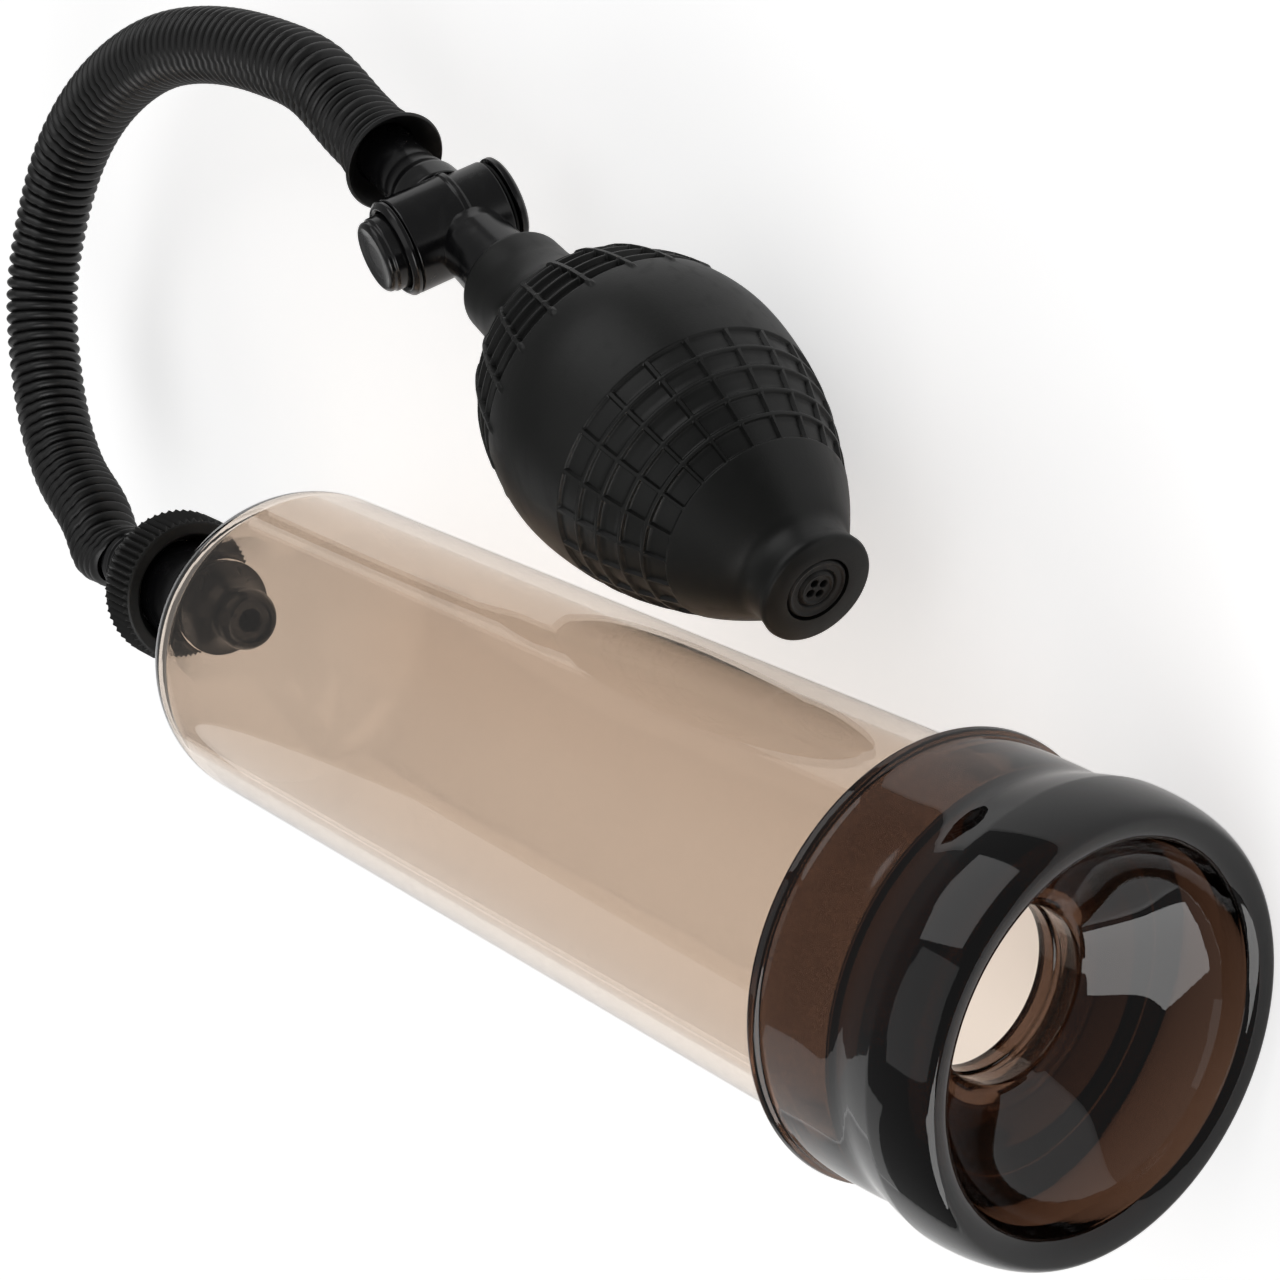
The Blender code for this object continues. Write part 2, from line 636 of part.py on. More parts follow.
def hole_circle(piece, name, axis, start, end, circle, radius, count):
    """Cut a circle of small holes along the axis."""
    for number in range(count):
        turn = 2 * math.pi * (number + 0.5) / count
        drill = turned(f"{name}_{number}", rod(start, end, radius), None, axis, 8)
        drill.location = (circle * math.cos(turn), circle * math.sin(turn), 0)
        cut(piece, drill)


def make_inlet_valve(axis, gloss, rubber):
    """One-way valve in the bulb's neck: the disc rests on the seat at the valve end."""
    outer = NECK_BORE - CLEARANCE
    seat_top = STEM_SHOULDER - SPIGOT_LENGTH - CLEARANCE
    seat_face = seat_top - CAGE_WALL
    disc_top = seat_face - CLEARANCE
    disc_low = disc_top - DISC_THICKNESS
    wall_face = disc_low - DISC_TRAVEL - CLEARANCE - NUB_HEIGHT
    wall_end = wall_face - CAGE_WALL
    outline = [
        (seat_top, SEAT_PORT_RADIUS),
        (seat_top, outer),
        (wall_end, outer),
        (wall_end, 0.0),
        (wall_face + NUB_HEIGHT, 0.0),
        (wall_face + NUB_HEIGHT, NUB_RADIUS),
        (wall_face, NUB_RADIUS),
        (wall_face, CAGE_BORE),
        (seat_face, CAGE_BORE),
        (seat_face, SEAT_PORT_RADIUS),
    ]
    cage = turned("inlet_valve_cage", outline, gloss, axis)
    margin = CAGE_WALL * 0.5
    hole_circle(
        cage,
        "inlet_drill",
        axis,
        wall_end - margin,
        wall_face + margin,
        CAGE_HOLE_CIRCLE,
        CAGE_HOLE_RADIUS,
        CAGE_HOLES,
    )
    turned("inlet_valve_disc", rod(disc_low, disc_top, DISC_RADIUS), rubber, axis)


def make_exhaust_valve(axis, finish, gloss, rubber):
    """One-way valve in the bulb's spout: a drilled insert, a loose disc and the seat behind it."""
    outer = SPOUT_BORE - CLEARANCE
    face_inside = INSERT_RECESS + INSERT_FACE
    disc_low = face_inside + NUB_HEIGHT + CLEARANCE + DISC_TRAVEL
    disc_top = disc_low + DISC_THICKNESS
    seat_face = disc_top + CLEARANCE
    skirt_end = seat_face - CLEARANCE
    outline = [
        (INSERT_RECESS, 0.0),
        (INSERT_RECESS, INSERT_BOSS_RADIUS),
        (INSERT_RECESS + INSERT_GROOVE, INSERT_BOSS_RADIUS + INSERT_GROOVE),
        (INSERT_RECESS, INSERT_BOSS_RADIUS + INSERT_GROOVE * 2),
        (INSERT_RECESS, outer),
        (skirt_end, outer),
        (skirt_end, CAGE_BORE),
        (face_inside, CAGE_BORE),
        (face_inside, NUB_RADIUS),
        (face_inside + NUB_HEIGHT, NUB_RADIUS),
        (face_inside + NUB_HEIGHT, 0.0),
    ]
    insert = turned("exhaust_insert", outline, finish, axis)
    hole_circle(
        insert,
        "exhaust_drill",
        axis,
        -INSERT_FACE,
        face_inside + NUB_HEIGHT * 0.5,
        INSERT_HOLE_CIRCLE,
        CAGE_HOLE_RADIUS,
        CAGE_HOLES,
    )
    turned("exhaust_disc", rod(disc_low, disc_top, DISC_RADIUS), rubber, axis)
    seat_end = seat_face + EXHAUST_SEAT_THICKNESS
    turned("exhaust_seat", pipe(seat_face, seat_end, SEAT_PORT_RADIUS, outer), gloss, axis)


def make_valve_body(bulb_axis, button_axis, finish):
    """T-shaped valve body: a stem along the bulb's axis and a wide and a narrow barrel across it."""
    spigot_end = STEM_SHOULDER - SPIGOT_LENGTH
    spigot_radius = NECK_BORE - CLEARANCE
    stem_root = BARREL_STATION - BARREL_RADIUS * 0.5
    hose_barb_end = CUFF_STATION + CUFF_LENGTH + BARB_LENGTH
    stem = [
        (spigot_end, 0.0),
        (spigot_end, spigot_radius),
        (STEM_SHOULDER, spigot_radius),
        (STEM_SHOULDER, BULB_STEM_RADIUS),
        (stem_root, BULB_STEM_END_RADIUS),
        (BARREL_STATION, HOSE_STEM_RADIUS),
        (HOSE_END_STATION - CLEARANCE * 2, HOSE_STEM_RADIUS),
        (HOSE_END_STATION - CLEARANCE * 2, BARB_RADIUS),
        (hose_barb_end, BARB_RADIUS - CLEARANCE * 2),
        (hose_barb_end, 0.0),
    ]
    barrel = [
        (-TAIL_LENGTH, 0.0),
        (-TAIL_LENGTH, TAIL_RADIUS),
        (-BARREL_BACK, TAIL_RADIUS),
        (-BARREL_BACK, BARREL_RADIUS),
        (BARREL_LENGTH, BARREL_RADIUS),
        (BARREL_LENGTH, 0.0),
    ]
    body = turned("valve_body", barrel, finish, button_axis)
    join(body, turned("stem_shape", stem, None, bulb_axis))
    margin = BARREL_RADIUS
    lower = rod(-TAIL_LENGTH - margin, SEAT_STATION, CHAMBER_RADIUS)
    upper = rod(SEAT_STATION + SEAT_THICKNESS, BARREL_LENGTH + margin, BARREL_BORE)
    hole = rod(SEAT_STATION - SEAT_THICKNESS, SEAT_STATION + SEAT_THICKNESS * 2, SEAT_HOLE_RADIUS)
    cut(body, turned("chamber_bore", lower, None, button_axis))
    cut(body, turned("button_bore", upper, None, button_axis))
    cut(body, turned("seat_hole", hole, None, button_axis))
    cut(body, turned("air_bore", rod(spigot_end - margin, hose_barb_end + margin, BARB_BORE), None, bulb_axis, 16))
    return body


def make_release(axis, gloss, rubber, steel):
    """Bezel, end cap, and the button with its plunger, seal and spring."""
    bezel_end = BEZEL_STATION + BEZEL_THICKNESS
    button_hole = BUTTON_RADIUS + CLEARANCE
    flange_top = BUTTON_BOTTOM + BUTTON_FLANGE
    bezel = [
        (flange_top + CLEARANCE, button_hole),
        (bezel_end, button_hole),
        (bezel_end, BEZEL_RADIUS - BEZEL_CHAMFER),
        (bezel_end - BEZEL_CHAMFER, BEZEL_RADIUS),
        (BEZEL_STATION, BEZEL_RADIUS),
        (BEZEL_STATION, BARREL_BORE - CLEARANCE),
        (flange_top + CLEARANCE, BARREL_BORE - CLEARANCE),
    ]
    turned("button_bezel", bezel, gloss, axis)
    rim = BUTTON_RADIUS - BUTTON_WALL
    ceiling = BUTTON_TOP - BUTTON_WALL - BUTTON_DISH
    button = [
        (BUTTON_TOP - BUTTON_DISH, 0.0),
        (BUTTON_TOP - BUTTON_DISH * 0.7, rim * 0.6),
        (BUTTON_TOP, rim),
        (BUTTON_TOP, BUTTON_RADIUS - BUTTON_DISH),
        (BUTTON_TOP - BUTTON_DISH, BUTTON_RADIUS),
        (flange_top, BUTTON_RADIUS),
        (flange_top, BUTTON_FLANGE_RADIUS),
        (BUTTON_BOTTOM, BUTTON_FLANGE_RADIUS),
        (BUTTON_BOTTOM, rim),
        (ceiling, rim),
        (ceiling, 0.0),
    ]
    turned("release_button", button, gloss, axis)
    seal_top = SEAT_STATION - CLEARANCE
    seal_low = seal_top - SEAL_THICKNESS
    head_top = seal_low - CLEARANCE
    head_low = head_top - PLUNGER_HEAD
    plunger = [
        (ceiling - CLEARANCE, 0.0),
        (ceiling - CLEARANCE, PLUNGER_RADIUS),
        (head_top, PLUNGER_RADIUS),
        (head_top, PLUNGER_HEAD_RADIUS),
        (head_low, PLUNGER_HEAD_RADIUS),
        (head_low, 0.0),
    ]
    turned("release_plunger", plunger, gloss, axis)
    turned("plunger_seal", pipe(seal_low, seal_top, PLUNGER_RADIUS + CLEARANCE, SEAL_RADIUS), rubber, axis)
    make_spring(axis, BUTTON_BOTTOM + SPRING_WIRE, ceiling - CLEARANCE - SPRING_WIRE, steel)
    turned(
        "cap_gasket",
        pipe(GASKET_STATION - GASKET_THICKNESS, GASKET_STATION, CHAMBER_RADIUS, GASKET_RADIUS),
        rubber,
        axis,
    )
    cap_end = CAP_STATION - CAP_THICKNESS
    plug_radius = CHAMBER_RADIUS - CLEARANCE
    cap = [
        (cap_end, 0.0),
        (cap_end, CAP_RADIUS - BEZEL_CHAMFER),
        (cap_end + BEZEL_CHAMFER, CAP_RADIUS),
        (CAP_STATION, CAP_RADIUS),
        (CAP_STATION, plug_radius),
        (CAP_STATION + CAP_PLUG, plug_radius),
        (CAP_STATION + CAP_PLUG, 0.0),
    ]
    turned("end_cap", cap, gloss, axis)


def tube_from_path(name, points, radii, axis, resolution):
    """A mesh tube along a path, from a bevelled curve with filled ends."""
    curve = bpy.data.curves.new(name, "CURVE")
    curve.dimensions = "3D"
    curve.bevel_depth = 1.0
    curve.bevel_resolution = resolution
    curve.use_fill_caps = True
    line = curve.splines.new("POLY")
    line.points.add(len(points) - 1)
    for spot, (point, radius) in enumerate(zip(points, radii)):
        line.points[spot].co = (*point, 1.0)
        line.points[spot].radius = radius
    drawn = bpy.data.objects.new(name + "_curve", curve)
    bpy.context.collection.objects.link(drawn)
    bpy.context.view_layer.update()
    mesh = bpy.data.meshes.new_from_object(drawn.evaluated_get(bpy.context.evaluated_depsgraph_get()))
    bpy.data.objects.remove(drawn, do_unlink=True)
    shape = bmesh.new()
    shape.from_mesh(mesh)
    bmesh.ops.remove_doubles(shape, verts=shape.verts, dist=1e-7)
    bmesh.ops.recalc_face_normals(shape, faces=shape.faces)
    shape.to_mesh(mesh)
    shape.free()
    mesh.name = name
    made = bpy.data.objects.new(name, mesh)
    bpy.context.collection.objects.link(made)
    made.parent = axis
    return made


def make_spring(axis, start, end, finish):
    """Return spring, drawn at the length it has with the button pressed; it rides on the button."""
    points_per_turn = 8
    count = SPRING_TURNS * points_per_turn + 1
    points = []
    for spot in range(count):
        turn = 2 * math.pi * spot / points_per_turn
        height = start + (end - start) * spot / (count - 1)
        points.append((SPRING_RADIUS * math.cos(turn), SPRING_RADIUS * math.sin(turn), height))
    spring = tube_from_path("release_spring", points, [SPRING_WIRE] * count, axis, 1)
    spring.data.materials.append(finish)
    finish_mesh(spring.data)
    print("spring: gap between turns", round((end - start) / SPRING_TURNS - 2 * SPRING_WIRE, 5))


def hose_points(cylinder_axis, bulb_axis):
    """Dense centre line of the hose: straight off the nipple, along the route, straight into the cuff."""
    straight = HOSE_RADIUS
    nipple_end = [Vector((0, 0, HOSE_START_STATION - straight * share)) for share in (0, 0.5, 1)]
    cuff_end = [Vector((0, 0, HOSE_END_STATION + straight * share)) for share in (1, 0.5, 0)]
    route = [cylinder_axis.matrix_local @ point for point in nipple_end]
    route += [Vector(point) for point in HOSE_ROUTE]
    route += [bulb_axis.matrix_local @ point for point in cuff_end]
    return smooth_curve([tuple(point) for point in route], 900)


def make_hose(root, cylinder_axis, bulb_axis, rubber):
    """Ribbed hose with its bore, from the nipple's shoulder to the cuff on the valve's stem."""
    line = hose_points(cylinder_axis, bulb_axis)
    length = path_length(line)
    ribs = round(length / RIB_PITCH)
    pitch = length / ribs
    edges = np.linspace(0.0, length, 2 * ribs + 1)
    radii = [HOSE_ROOT_RADIUS if spot % 2 == 0 else HOSE_RADIUS for spot in range(len(edges))]
    hose = tube_from_path("ribbed_hose", even_spacing(line, edges), radii, root, 2)
    hose.data.materials.append(rubber)
    finish_mesh(hose.data)
    inner = even_spacing(line, np.linspace(0.0, length, round(length / HOSE_RADIUS)))
    past_start = inner[0] + (inner[0] - inner[1]) * 0.3
    past_end = inner[-1] + (inner[-1] - inner[-2]) * 0.3
    inner = np.vstack([past_start, inner[1:-1], past_end])
    cut(hose, tube_from_path("hose_bore", inner, [HOSE_BORE_RADIUS] * len(inner), root, 2))
    print("hose: length", round(length, 4), "ribs", ribs, "pitch", round(pitch, 5))
    return hose


def make_cuff(axis, rubber):
    """Flared, dished end of the hose, round the valve's stem."""
    end = CUFF_STATION + CUFF_LENGTH
    bore = HOSE_STEM_RADIUS + CLEARANCE
    outline = [
        (CUFF_STATION + CUFF_DISH, bore),
        (CUFF_STATION + CUFF_DISH * 0.5, CUFF_RADIUS - CUFF_LIP * 2.2),
        (CUFF_STATION + CUFF_LIP * 0.4, CUFF_RADIUS - CUFF_LIP),
        (CUFF_STATION, CUFF_RADIUS - CUFF_LIP * 0.5),
        (CUFF_STATION + CUFF_LIP * 0.5, CUFF_RADIUS),
        (CUFF_STATION + CUFF_DISH * 0.6, CUFF_RADIUS - CUFF_LIP * 0.8),
        (CUFF_STATION + CUFF_DISH, HOSE_RADIUS),
        (end, HOSE_RADIUS),
        (end, bore),
    ]
    return turned("hose_cuff", outline, rubber, axis)


def stand_on_origin(root, left_out):
    """Move the pump so that the middle of its footprint, cord aside, is the origin."""
    bpy.context.view_layer.update()
    corners = []
    for piece in bpy.data.objects:
        if piece.type == "MESH" and not piece.hide_render and piece.name not in left_out:
            corners += [piece.matrix_world @ vert.co for vert in piece.data.vertices]
    low = [min(corner[side] for corner in corners) for side in range(2)]
    high = [max(corner[side] for corner in corners) for side in range(2)]
    root.location = (-(low[0] + high[0]) / 2, -(low[1] + high[1]) / 2, 0)
    bpy.context.view_layer.update()


def main():
    """Build the whole pump."""
    clear_scene()
    smoke = material("smoked_clear_plastic", (0.42, 0.34, 0.28), 0.05, 0.0, 0.35, 0.9)
    amber = material("smoked_soft_plastic", (0.075, 0.035, 0.022), 0.06, 0.0, 0.7, 0.8)
    gloss = material("black_gloss_plastic", (0.012, 0.012, 0.014), 0.18)
    matt = material("black_matt_plastic", (0.03, 0.031, 0.03), 0.5)
    rubber = material("black_rubber", (0.028, 0.029, 0.03), 0.55)
    seal = material("seal_rubber", (0.02, 0.02, 0.02), 0.7)
    steel = material("spring_steel", (0.55, 0.55, 0.56), 0.3, 1.0)
    root, cylinder_axis, bulb_axis, button_axis = make_axes()
    make_cylinder(cylinder_axis, smoke)
    make_sleeve(cylinder_axis, amber)
    make_port(cylinder_axis, seal, gloss)
    make_nut(cylinder_axis, matt)
    make_nipple(cylinder_axis, gloss)
    make_bulb(bulb_axis, rubber)
    make_inlet_valve(bulb_axis, gloss, seal)
    make_exhaust_valve(bulb_axis, matt, gloss, seal)
    make_valve_body(bulb_axis, button_axis, gloss)
    make_release(button_axis, gloss, seal, steel)
    make_cuff(bulb_axis, rubber)
    make_hose(root, cylinder_axis, bulb_axis, rubber)
    stand_on_origin(root, {"ribbed_hose"})


main()
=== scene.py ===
# %% [markdown]
# # A hand vacuum pump, dressed for the camera
# A tinted clear cylinder lies on a white table. A soft dark sleeve grips its open end. A ribbed hose runs from its
# domed end to a push-button valve on a rubber squeeze bulb. The CAD part gives each piece its place. This script
# gives the pieces their finished surfaces: rounded edges, moulded panels, ribs, and clear or black materials.

import math

import bmesh
import bpy
import numpy as np
from mathutils import Matrix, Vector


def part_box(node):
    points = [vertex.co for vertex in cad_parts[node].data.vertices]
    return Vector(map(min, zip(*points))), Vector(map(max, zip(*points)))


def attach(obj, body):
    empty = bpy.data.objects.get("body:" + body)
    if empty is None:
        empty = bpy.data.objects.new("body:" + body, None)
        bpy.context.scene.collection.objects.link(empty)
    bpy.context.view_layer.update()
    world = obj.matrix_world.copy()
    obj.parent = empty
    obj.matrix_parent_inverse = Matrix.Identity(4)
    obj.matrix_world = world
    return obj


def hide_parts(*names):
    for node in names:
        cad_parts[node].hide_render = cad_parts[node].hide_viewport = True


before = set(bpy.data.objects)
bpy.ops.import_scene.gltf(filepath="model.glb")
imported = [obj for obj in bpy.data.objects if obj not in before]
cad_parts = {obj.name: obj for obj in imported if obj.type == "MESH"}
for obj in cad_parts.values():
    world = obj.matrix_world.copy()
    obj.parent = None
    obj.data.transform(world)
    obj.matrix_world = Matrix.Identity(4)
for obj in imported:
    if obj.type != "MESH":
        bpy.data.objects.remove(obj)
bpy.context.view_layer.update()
print("CAD nodes:", len(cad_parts))

# %% [markdown]
# ## Camera first
# The photograph looks down on the table at about 39 degrees, with the camera turned on its side, so that the table's
# upward direction points to the picture's left. The camera is written as a place and three directions.

# %% Camera
ORIGIN = np.array((-0.032063, -0.102533, 0.0))  # the foot of the sleeve's lip, in the part's frame
CAMERA_PLACE = np.array((0.1224, -0.2514, 0.3036)) + ORIGIN
CAMERA_RIGHT = np.array((0.121, -0.620, -0.775))
CAMERA_UP = np.array((0.967, 0.249, -0.048))
FOCAL_SHARE = 2851 / 1280  # focal length in picture widths
SENSOR_WIDTH = 36


def unit(vector):
    """The vector divided by its length."""
    vector = np.asarray(vector, float)
    return vector / np.linalg.norm(vector)


def place_matrix(side, upward, ahead, spot):
    """A 4 by 4 matrix from three axes, as columns, and a place."""
    table = np.eye(4)
    table[:3, :3] = np.column_stack([side, upward, ahead])
    table[:3, 3] = spot
    return table


right = unit(CAMERA_RIGHT)
upward = unit(CAMERA_UP - right * right.dot(CAMERA_UP))
lens = bpy.data.cameras.new("photo_camera")
lens.sensor_width = SENSOR_WIDTH
lens.lens = SENSOR_WIDTH * FOCAL_SHARE
lens.clip_start = 0.01
lens.clip_end = 50
camera = bpy.data.objects.new("photo_camera", lens)
bpy.context.collection.objects.link(camera)
camera.matrix_world = Matrix(place_matrix(right, upward, np.cross(right, upward), CAMERA_PLACE).tolist())
bpy.context.scene.camera = camera
print("lens, mm:", round(lens.lens, 1))

# %% [markdown]
# ## Two axes to turn things on
# Nearly every piece of this pump came from a lathe or a round mould, so each is an outline spun about one of three
# axes: the cylinder's, the bulb's, or the push button's. The cylinder leans 1.4 degrees, because it rests on the
# sleeve's wide lip in front and on its own shoulder behind.

# %% The axes
LIP_RADIUS = 0.0326
TUBE_RADIUS = 0.0285
SHOULDER_STATION = -0.165
BULB_HEADING = math.radians(20.2)
BULB_DIP = math.radians(2.1)
BELLY_STATION = 0.0472
BELLY_PLACE = (0.0578, 0.0823)
BELLY_HEIGHT = 0.0248
BARREL_STATION = 0.1108
BUTTON_LEAN = math.radians(30)

lean = math.atan2(LIP_RADIUS - TUBE_RADIUS, -SHOULDER_STATION)
cylinder_axis = place_matrix(
    (1, 0, 0),
    (0, math.sin(lean), math.cos(lean)),
    (0, -math.cos(lean), math.sin(lean)),
    ORIGIN + (0, 0, LIP_RADIUS * math.cos(lean)),
)
heading = np.array((math.sin(BULB_HEADING), math.cos(BULB_HEADING), 0))
along = heading * math.cos(BULB_DIP) - np.array((0, 0, math.sin(BULB_DIP)))
over = heading * math.sin(BULB_DIP) + np.array((0, 0, math.cos(BULB_DIP)))
belly = ORIGIN + (*BELLY_PLACE, BELLY_HEIGHT)
bulb_axis = place_matrix(np.cross(over, along), over, along, belly - along * BELLY_STATION)
button_line = np.array((math.sin(BUTTON_LEAN), math.cos(BUTTON_LEAN), 0))
button_side = np.cross(button_line, (0, 0, 1))
button_axis = bulb_axis @ place_matrix(button_side, (0, 0, 1), button_line, (0, 0, BARREL_STATION))
print("button points to", np.round(button_axis[:3, 2], 3))

# %% [markdown]
# ## From a grid of points to a closed surface
# A grid of points, rows by columns, becomes a mesh by joining neighbours in both directions and wrapping round.
# Rows that lie on the axis shrink to one point, so the poles close themselves when doubles are merged.

# %% Grid to mesh
SAME_POINT = 2e-7  # points closer than this are one
NO_LENGTH = 1e-8


def grid_faces(rows, columns, wrap_rows):
    """Four corner numbers of each cell of a grid whose columns wrap, and whose rows may wrap."""
    down = np.arange(rows if wrap_rows else rows - 1)[:, None]
    side = np.arange(columns)[None, :]
    below, beside = (down + 1) % rows, (side + 1) % columns
    corners = (down * columns + side, down * columns + beside, below * columns + beside, below * columns + side)
    return np.stack(corners, axis=-1).reshape(-1, 4)


def make_mesh(name, points, faces, sharp=38):
    """A closed, smooth-shaded object at the origin, with its doubles merged and its faces outwards."""
    mesh = bpy.data.meshes.new(name)
    mesh.from_pydata(points.tolist(), [], faces.tolist())
    shape = bmesh.new()
    shape.from_mesh(mesh)
    bmesh.ops.remove_doubles(shape, verts=shape.verts, dist=SAME_POINT)
    bmesh.ops.dissolve_degenerate(shape, edges=shape.edges, dist=NO_LENGTH)
    loose = [edge for edge in shape.edges if not edge.link_faces]
    bmesh.ops.delete(shape, geom=loose, context="EDGES")
    bmesh.ops.recalc_face_normals(shape, faces=shape.faces)
    shape.to_mesh(mesh)
    shape.free()
    mesh.shade_smooth()
    mesh.set_sharp_from_angle(angle=math.radians(sharp))
    made = bpy.data.objects.new(name, mesh)
    bpy.context.collection.objects.link(made)
    return made


def to_frame(points, axis):
    """Points given on an axis, moved to the part's frame."""
    return points @ axis[:3, :3].T + axis[:3, 3]


def grid_piece(name, points, axis, sharp, wrap_rows=True):
    """A piece from a grid of points given on an axis."""
    faces = grid_faces(*points.shape[:2], wrap_rows)
    return make_mesh(name, to_frame(points.reshape(-1, 3), axis), faces, sharp)


# %% [markdown]
# ## Rounded corners
# A real moulding has no perfectly sharp edge, and it is the small radius that catches the light. Each corner of an
# outline is replaced by a parabola between two points on its sides. A point just outside each end keeps the shading
# of the flat next to it flat.

# %% Softened outlines and turned pieces
GUARD = 0.25  # how far outside the rounding its guard points stand, as a share of the rounding
ROUND = np.array((-GUARD, 0.0, 0.22, 0.5, 0.78, 1.0, 1 + GUARD))
SIDE_SHARE = 0.36  # a rounding takes at most this share of each side


def soften(outline, reach):
    """Corner c between neighbours a and b: (1-t)^2 (c to a by reach) + 2t(1-t) c + t^2 (c to b by reach)."""
    corner = np.asarray(outline, float)
    before, after = np.roll(corner, 1, axis=0) - corner, np.roll(corner, -1, axis=0) - corner
    long_before, long_after = np.linalg.norm(before, axis=1), np.linalg.norm(after, axis=1)
    size = np.minimum(reach, SIDE_SHARE * np.minimum(long_before, long_after))
    size = np.where(corner[:, 1] < 1e-6, 0.0, size)[:, None]
    start = corner + before / np.maximum(long_before, 1e-12)[:, None] * size
    end = corner + after / np.maximum(long_after, 1e-12)[:, None] * size
    turn = np.clip(ROUND, 0, 1)[None, :, None]
    bow = (1 - turn) ** 2 * start[:, None] + 2 * turn * (1 - turn) * corner[:, None] + turn**2 * end[:, None]
    bow[:, 0] += (start - corner) * GUARD
    bow[:, -1] += (end - corner) * GUARD
    return bow.reshape(-1, 2)


def spun(station, radius, angle):
    """Grid of points (radius cos angle, radius sin angle, station)."""
    return np.stack([radius * np.cos(angle), radius * np.sin(angle), station + 0 * angle], axis=-1)


def turned_points(ring, sides):
    """Grid of an outline of (station, radius) spun about Z."""
    return spun(ring[:, :1], ring[:, 1:], np.linspace(0, 2 * np.pi, sides, endpoint=False))


def turned(name, outline, axis, reach=0.0003, sides=96, sharp=38):
    """A turned piece with softened corners, on its axis."""
    return grid_piece(name, turned_points(soften(outline, reach), sides), axis, sharp)


def arc(centre, radius, start, end, count=12):
    """Points on an arc of the outline's plane: 0 degrees along the axis, 90 outwards."""
    turn = np.radians(np.linspace(start, end, count))
    return np.column_stack([centre[0] + radius * np.cos(turn), centre[1] + radius * np.sin(turn)])


def smooth_curve(points, count):
    """Count points on the natural cubic spline through the given ones, by distance along the chords."""
    knots = np.array(points, float)
    chord = np.linalg.norm(np.diff(knots, axis=0), axis=1)
    where = np.concatenate([[0.0], np.cumsum(chord)])
    inner = np.arange(1, len(knots) - 1)
    system = np.eye(len(knots))
    system[inner, inner - 1] = chord[:-1]
    system[inner, inner] = 2 * (chord[:-1] + chord[1:])
    system[inner, inner + 1] = chord[1:]
    slope = np.diff(knots, axis=0) / chord[:, None]
    wanted = np.zeros_like(knots)
    wanted[inner] = 6 * np.diff(slope, axis=0)
    bend = np.linalg.solve(system, wanted)
    spots = np.linspace(0, where[-1], count)
    piece = np.clip(np.searchsorted(where, spots, side="right") - 1, 0, len(chord) - 1)
    step, ahead, behind = chord[piece][:, None], (where[piece + 1] - spots)[:, None], (spots - where[piece])[:, None]
    return (
        (bend[piece] * ahead**3 + bend[piece + 1] * behind**3) / (6 * step)
        + (knots[piece] / step - bend[piece] * step / 6) * ahead
        + (knots[piece + 1] / step - bend[piece + 1] * step / 6) * behind
    )


# %% [markdown]
# ## Shared surface effects
# Two effects turn up on several materials, so each is a node group with named sockets. Fine grain is the texture that
# a mould leaves: a small noise for the height and a broad one that shifts colour and gloss. Handling marks are thin
# stretched streaks, as fingers leave on a glossy face.

# %% Node groups
def new_group(name, inputs, outputs):
    """An empty shader node group with its sockets."""
    group = bpy.data.node_groups.new(name, "ShaderNodeTree")
    for label, kind, value in inputs:
        socket = group.interface.new_socket(name=label, in_out="INPUT", socket_type=kind)
        if value is not None:
            socket.default_value = value
    for label, kind in outputs:
        group.interface.new_socket(name=label, in_out="OUTPUT", socket_type=kind)
    return group, group.nodes.new("NodeGroupInput"), group.nodes.new("NodeGroupOutput")


def add_node(tree, kind, sockets, **settings):
    """A shader node with its settings. Each socket named, or numbered, gets a link or a constant."""
    made = tree.nodes.new("ShaderNode" + kind)
    for label, value in settings.items():
        setattr(made, label, value)
    for label, value in sockets.items():
        if isinstance(value, bpy.types.NodeSocket):
            tree.links.new(value, made.inputs[label])
        else:
            made.inputs[label].default_value = value
    return made


def fine_grain_group():
    """Grain height from a small noise and patches from a broad one."""
    group, given, result = new_group(
        "fine_grain",
        [("Vector", "NodeSocketVector", None), ("Grain Scale", "NodeSocketFloat", 4000.0)],
        [("Height", "NodeSocketFloat"), ("Patches", "NodeSocketFloat")],
    )
    spot, scale = given.outputs["Vector"], given.outputs["Grain Scale"]
    grain = add_node(group, "TexNoise", {"Vector": spot, "Scale": scale, "Detail": 3, "Roughness": 0.6})
    broad = add_node(group, "TexNoise", {"Vector": spot, "Scale": 55, "Detail": 3, "Roughness": 0.55})
    patches = add_node(group, "MapRange", {"Value": broad.outputs["Fac"], "From Min": 0.34, "From Max": 0.66})
    group.links.new(grain.outputs["Fac"], result.inputs["Height"])
    group.links.new(patches.outputs["Result"], result.inputs["Patches"])
    return group


def handling_group():
    """Streaks: a noise stretched along X by a Mapping node, kept only where it peaks."""
    group, given, result = new_group(
        "handling_marks",
        [("Vector", "NodeSocketVector", None), ("Amount", "NodeSocketFloat", 1.0)],
        [("Marks", "NodeSocketFloat")],
    )
    spot, amount = given.outputs["Vector"], given.outputs["Amount"]
    stretch = add_node(group, "Mapping", {"Vector": spot, "Scale": (30, 420, 420), "Rotation": (0.3, 0.5, 0.7)})
    stretched = stretch.outputs["Vector"]
    streaks = add_node(group, "TexNoise", {"Vector": stretched, "Scale": 1.0, "Detail": 1, "Roughness": 0.5})
    peaks = add_node(group, "MapRange", {"Value": streaks.outputs["Fac"], "From Min": 0.56, "From Max": 0.72})
    scaled = add_node(group, "Math", {0: peaks.outputs["Result"], 1: amount}, operation="MULTIPLY")
    group.links.new(scaled.outputs["Value"], result.inputs["Marks"])
    return group


fine_grain, handling_marks = fine_grain_group(), handling_group()
print("groups:", [group.name for group in bpy.data.node_groups])

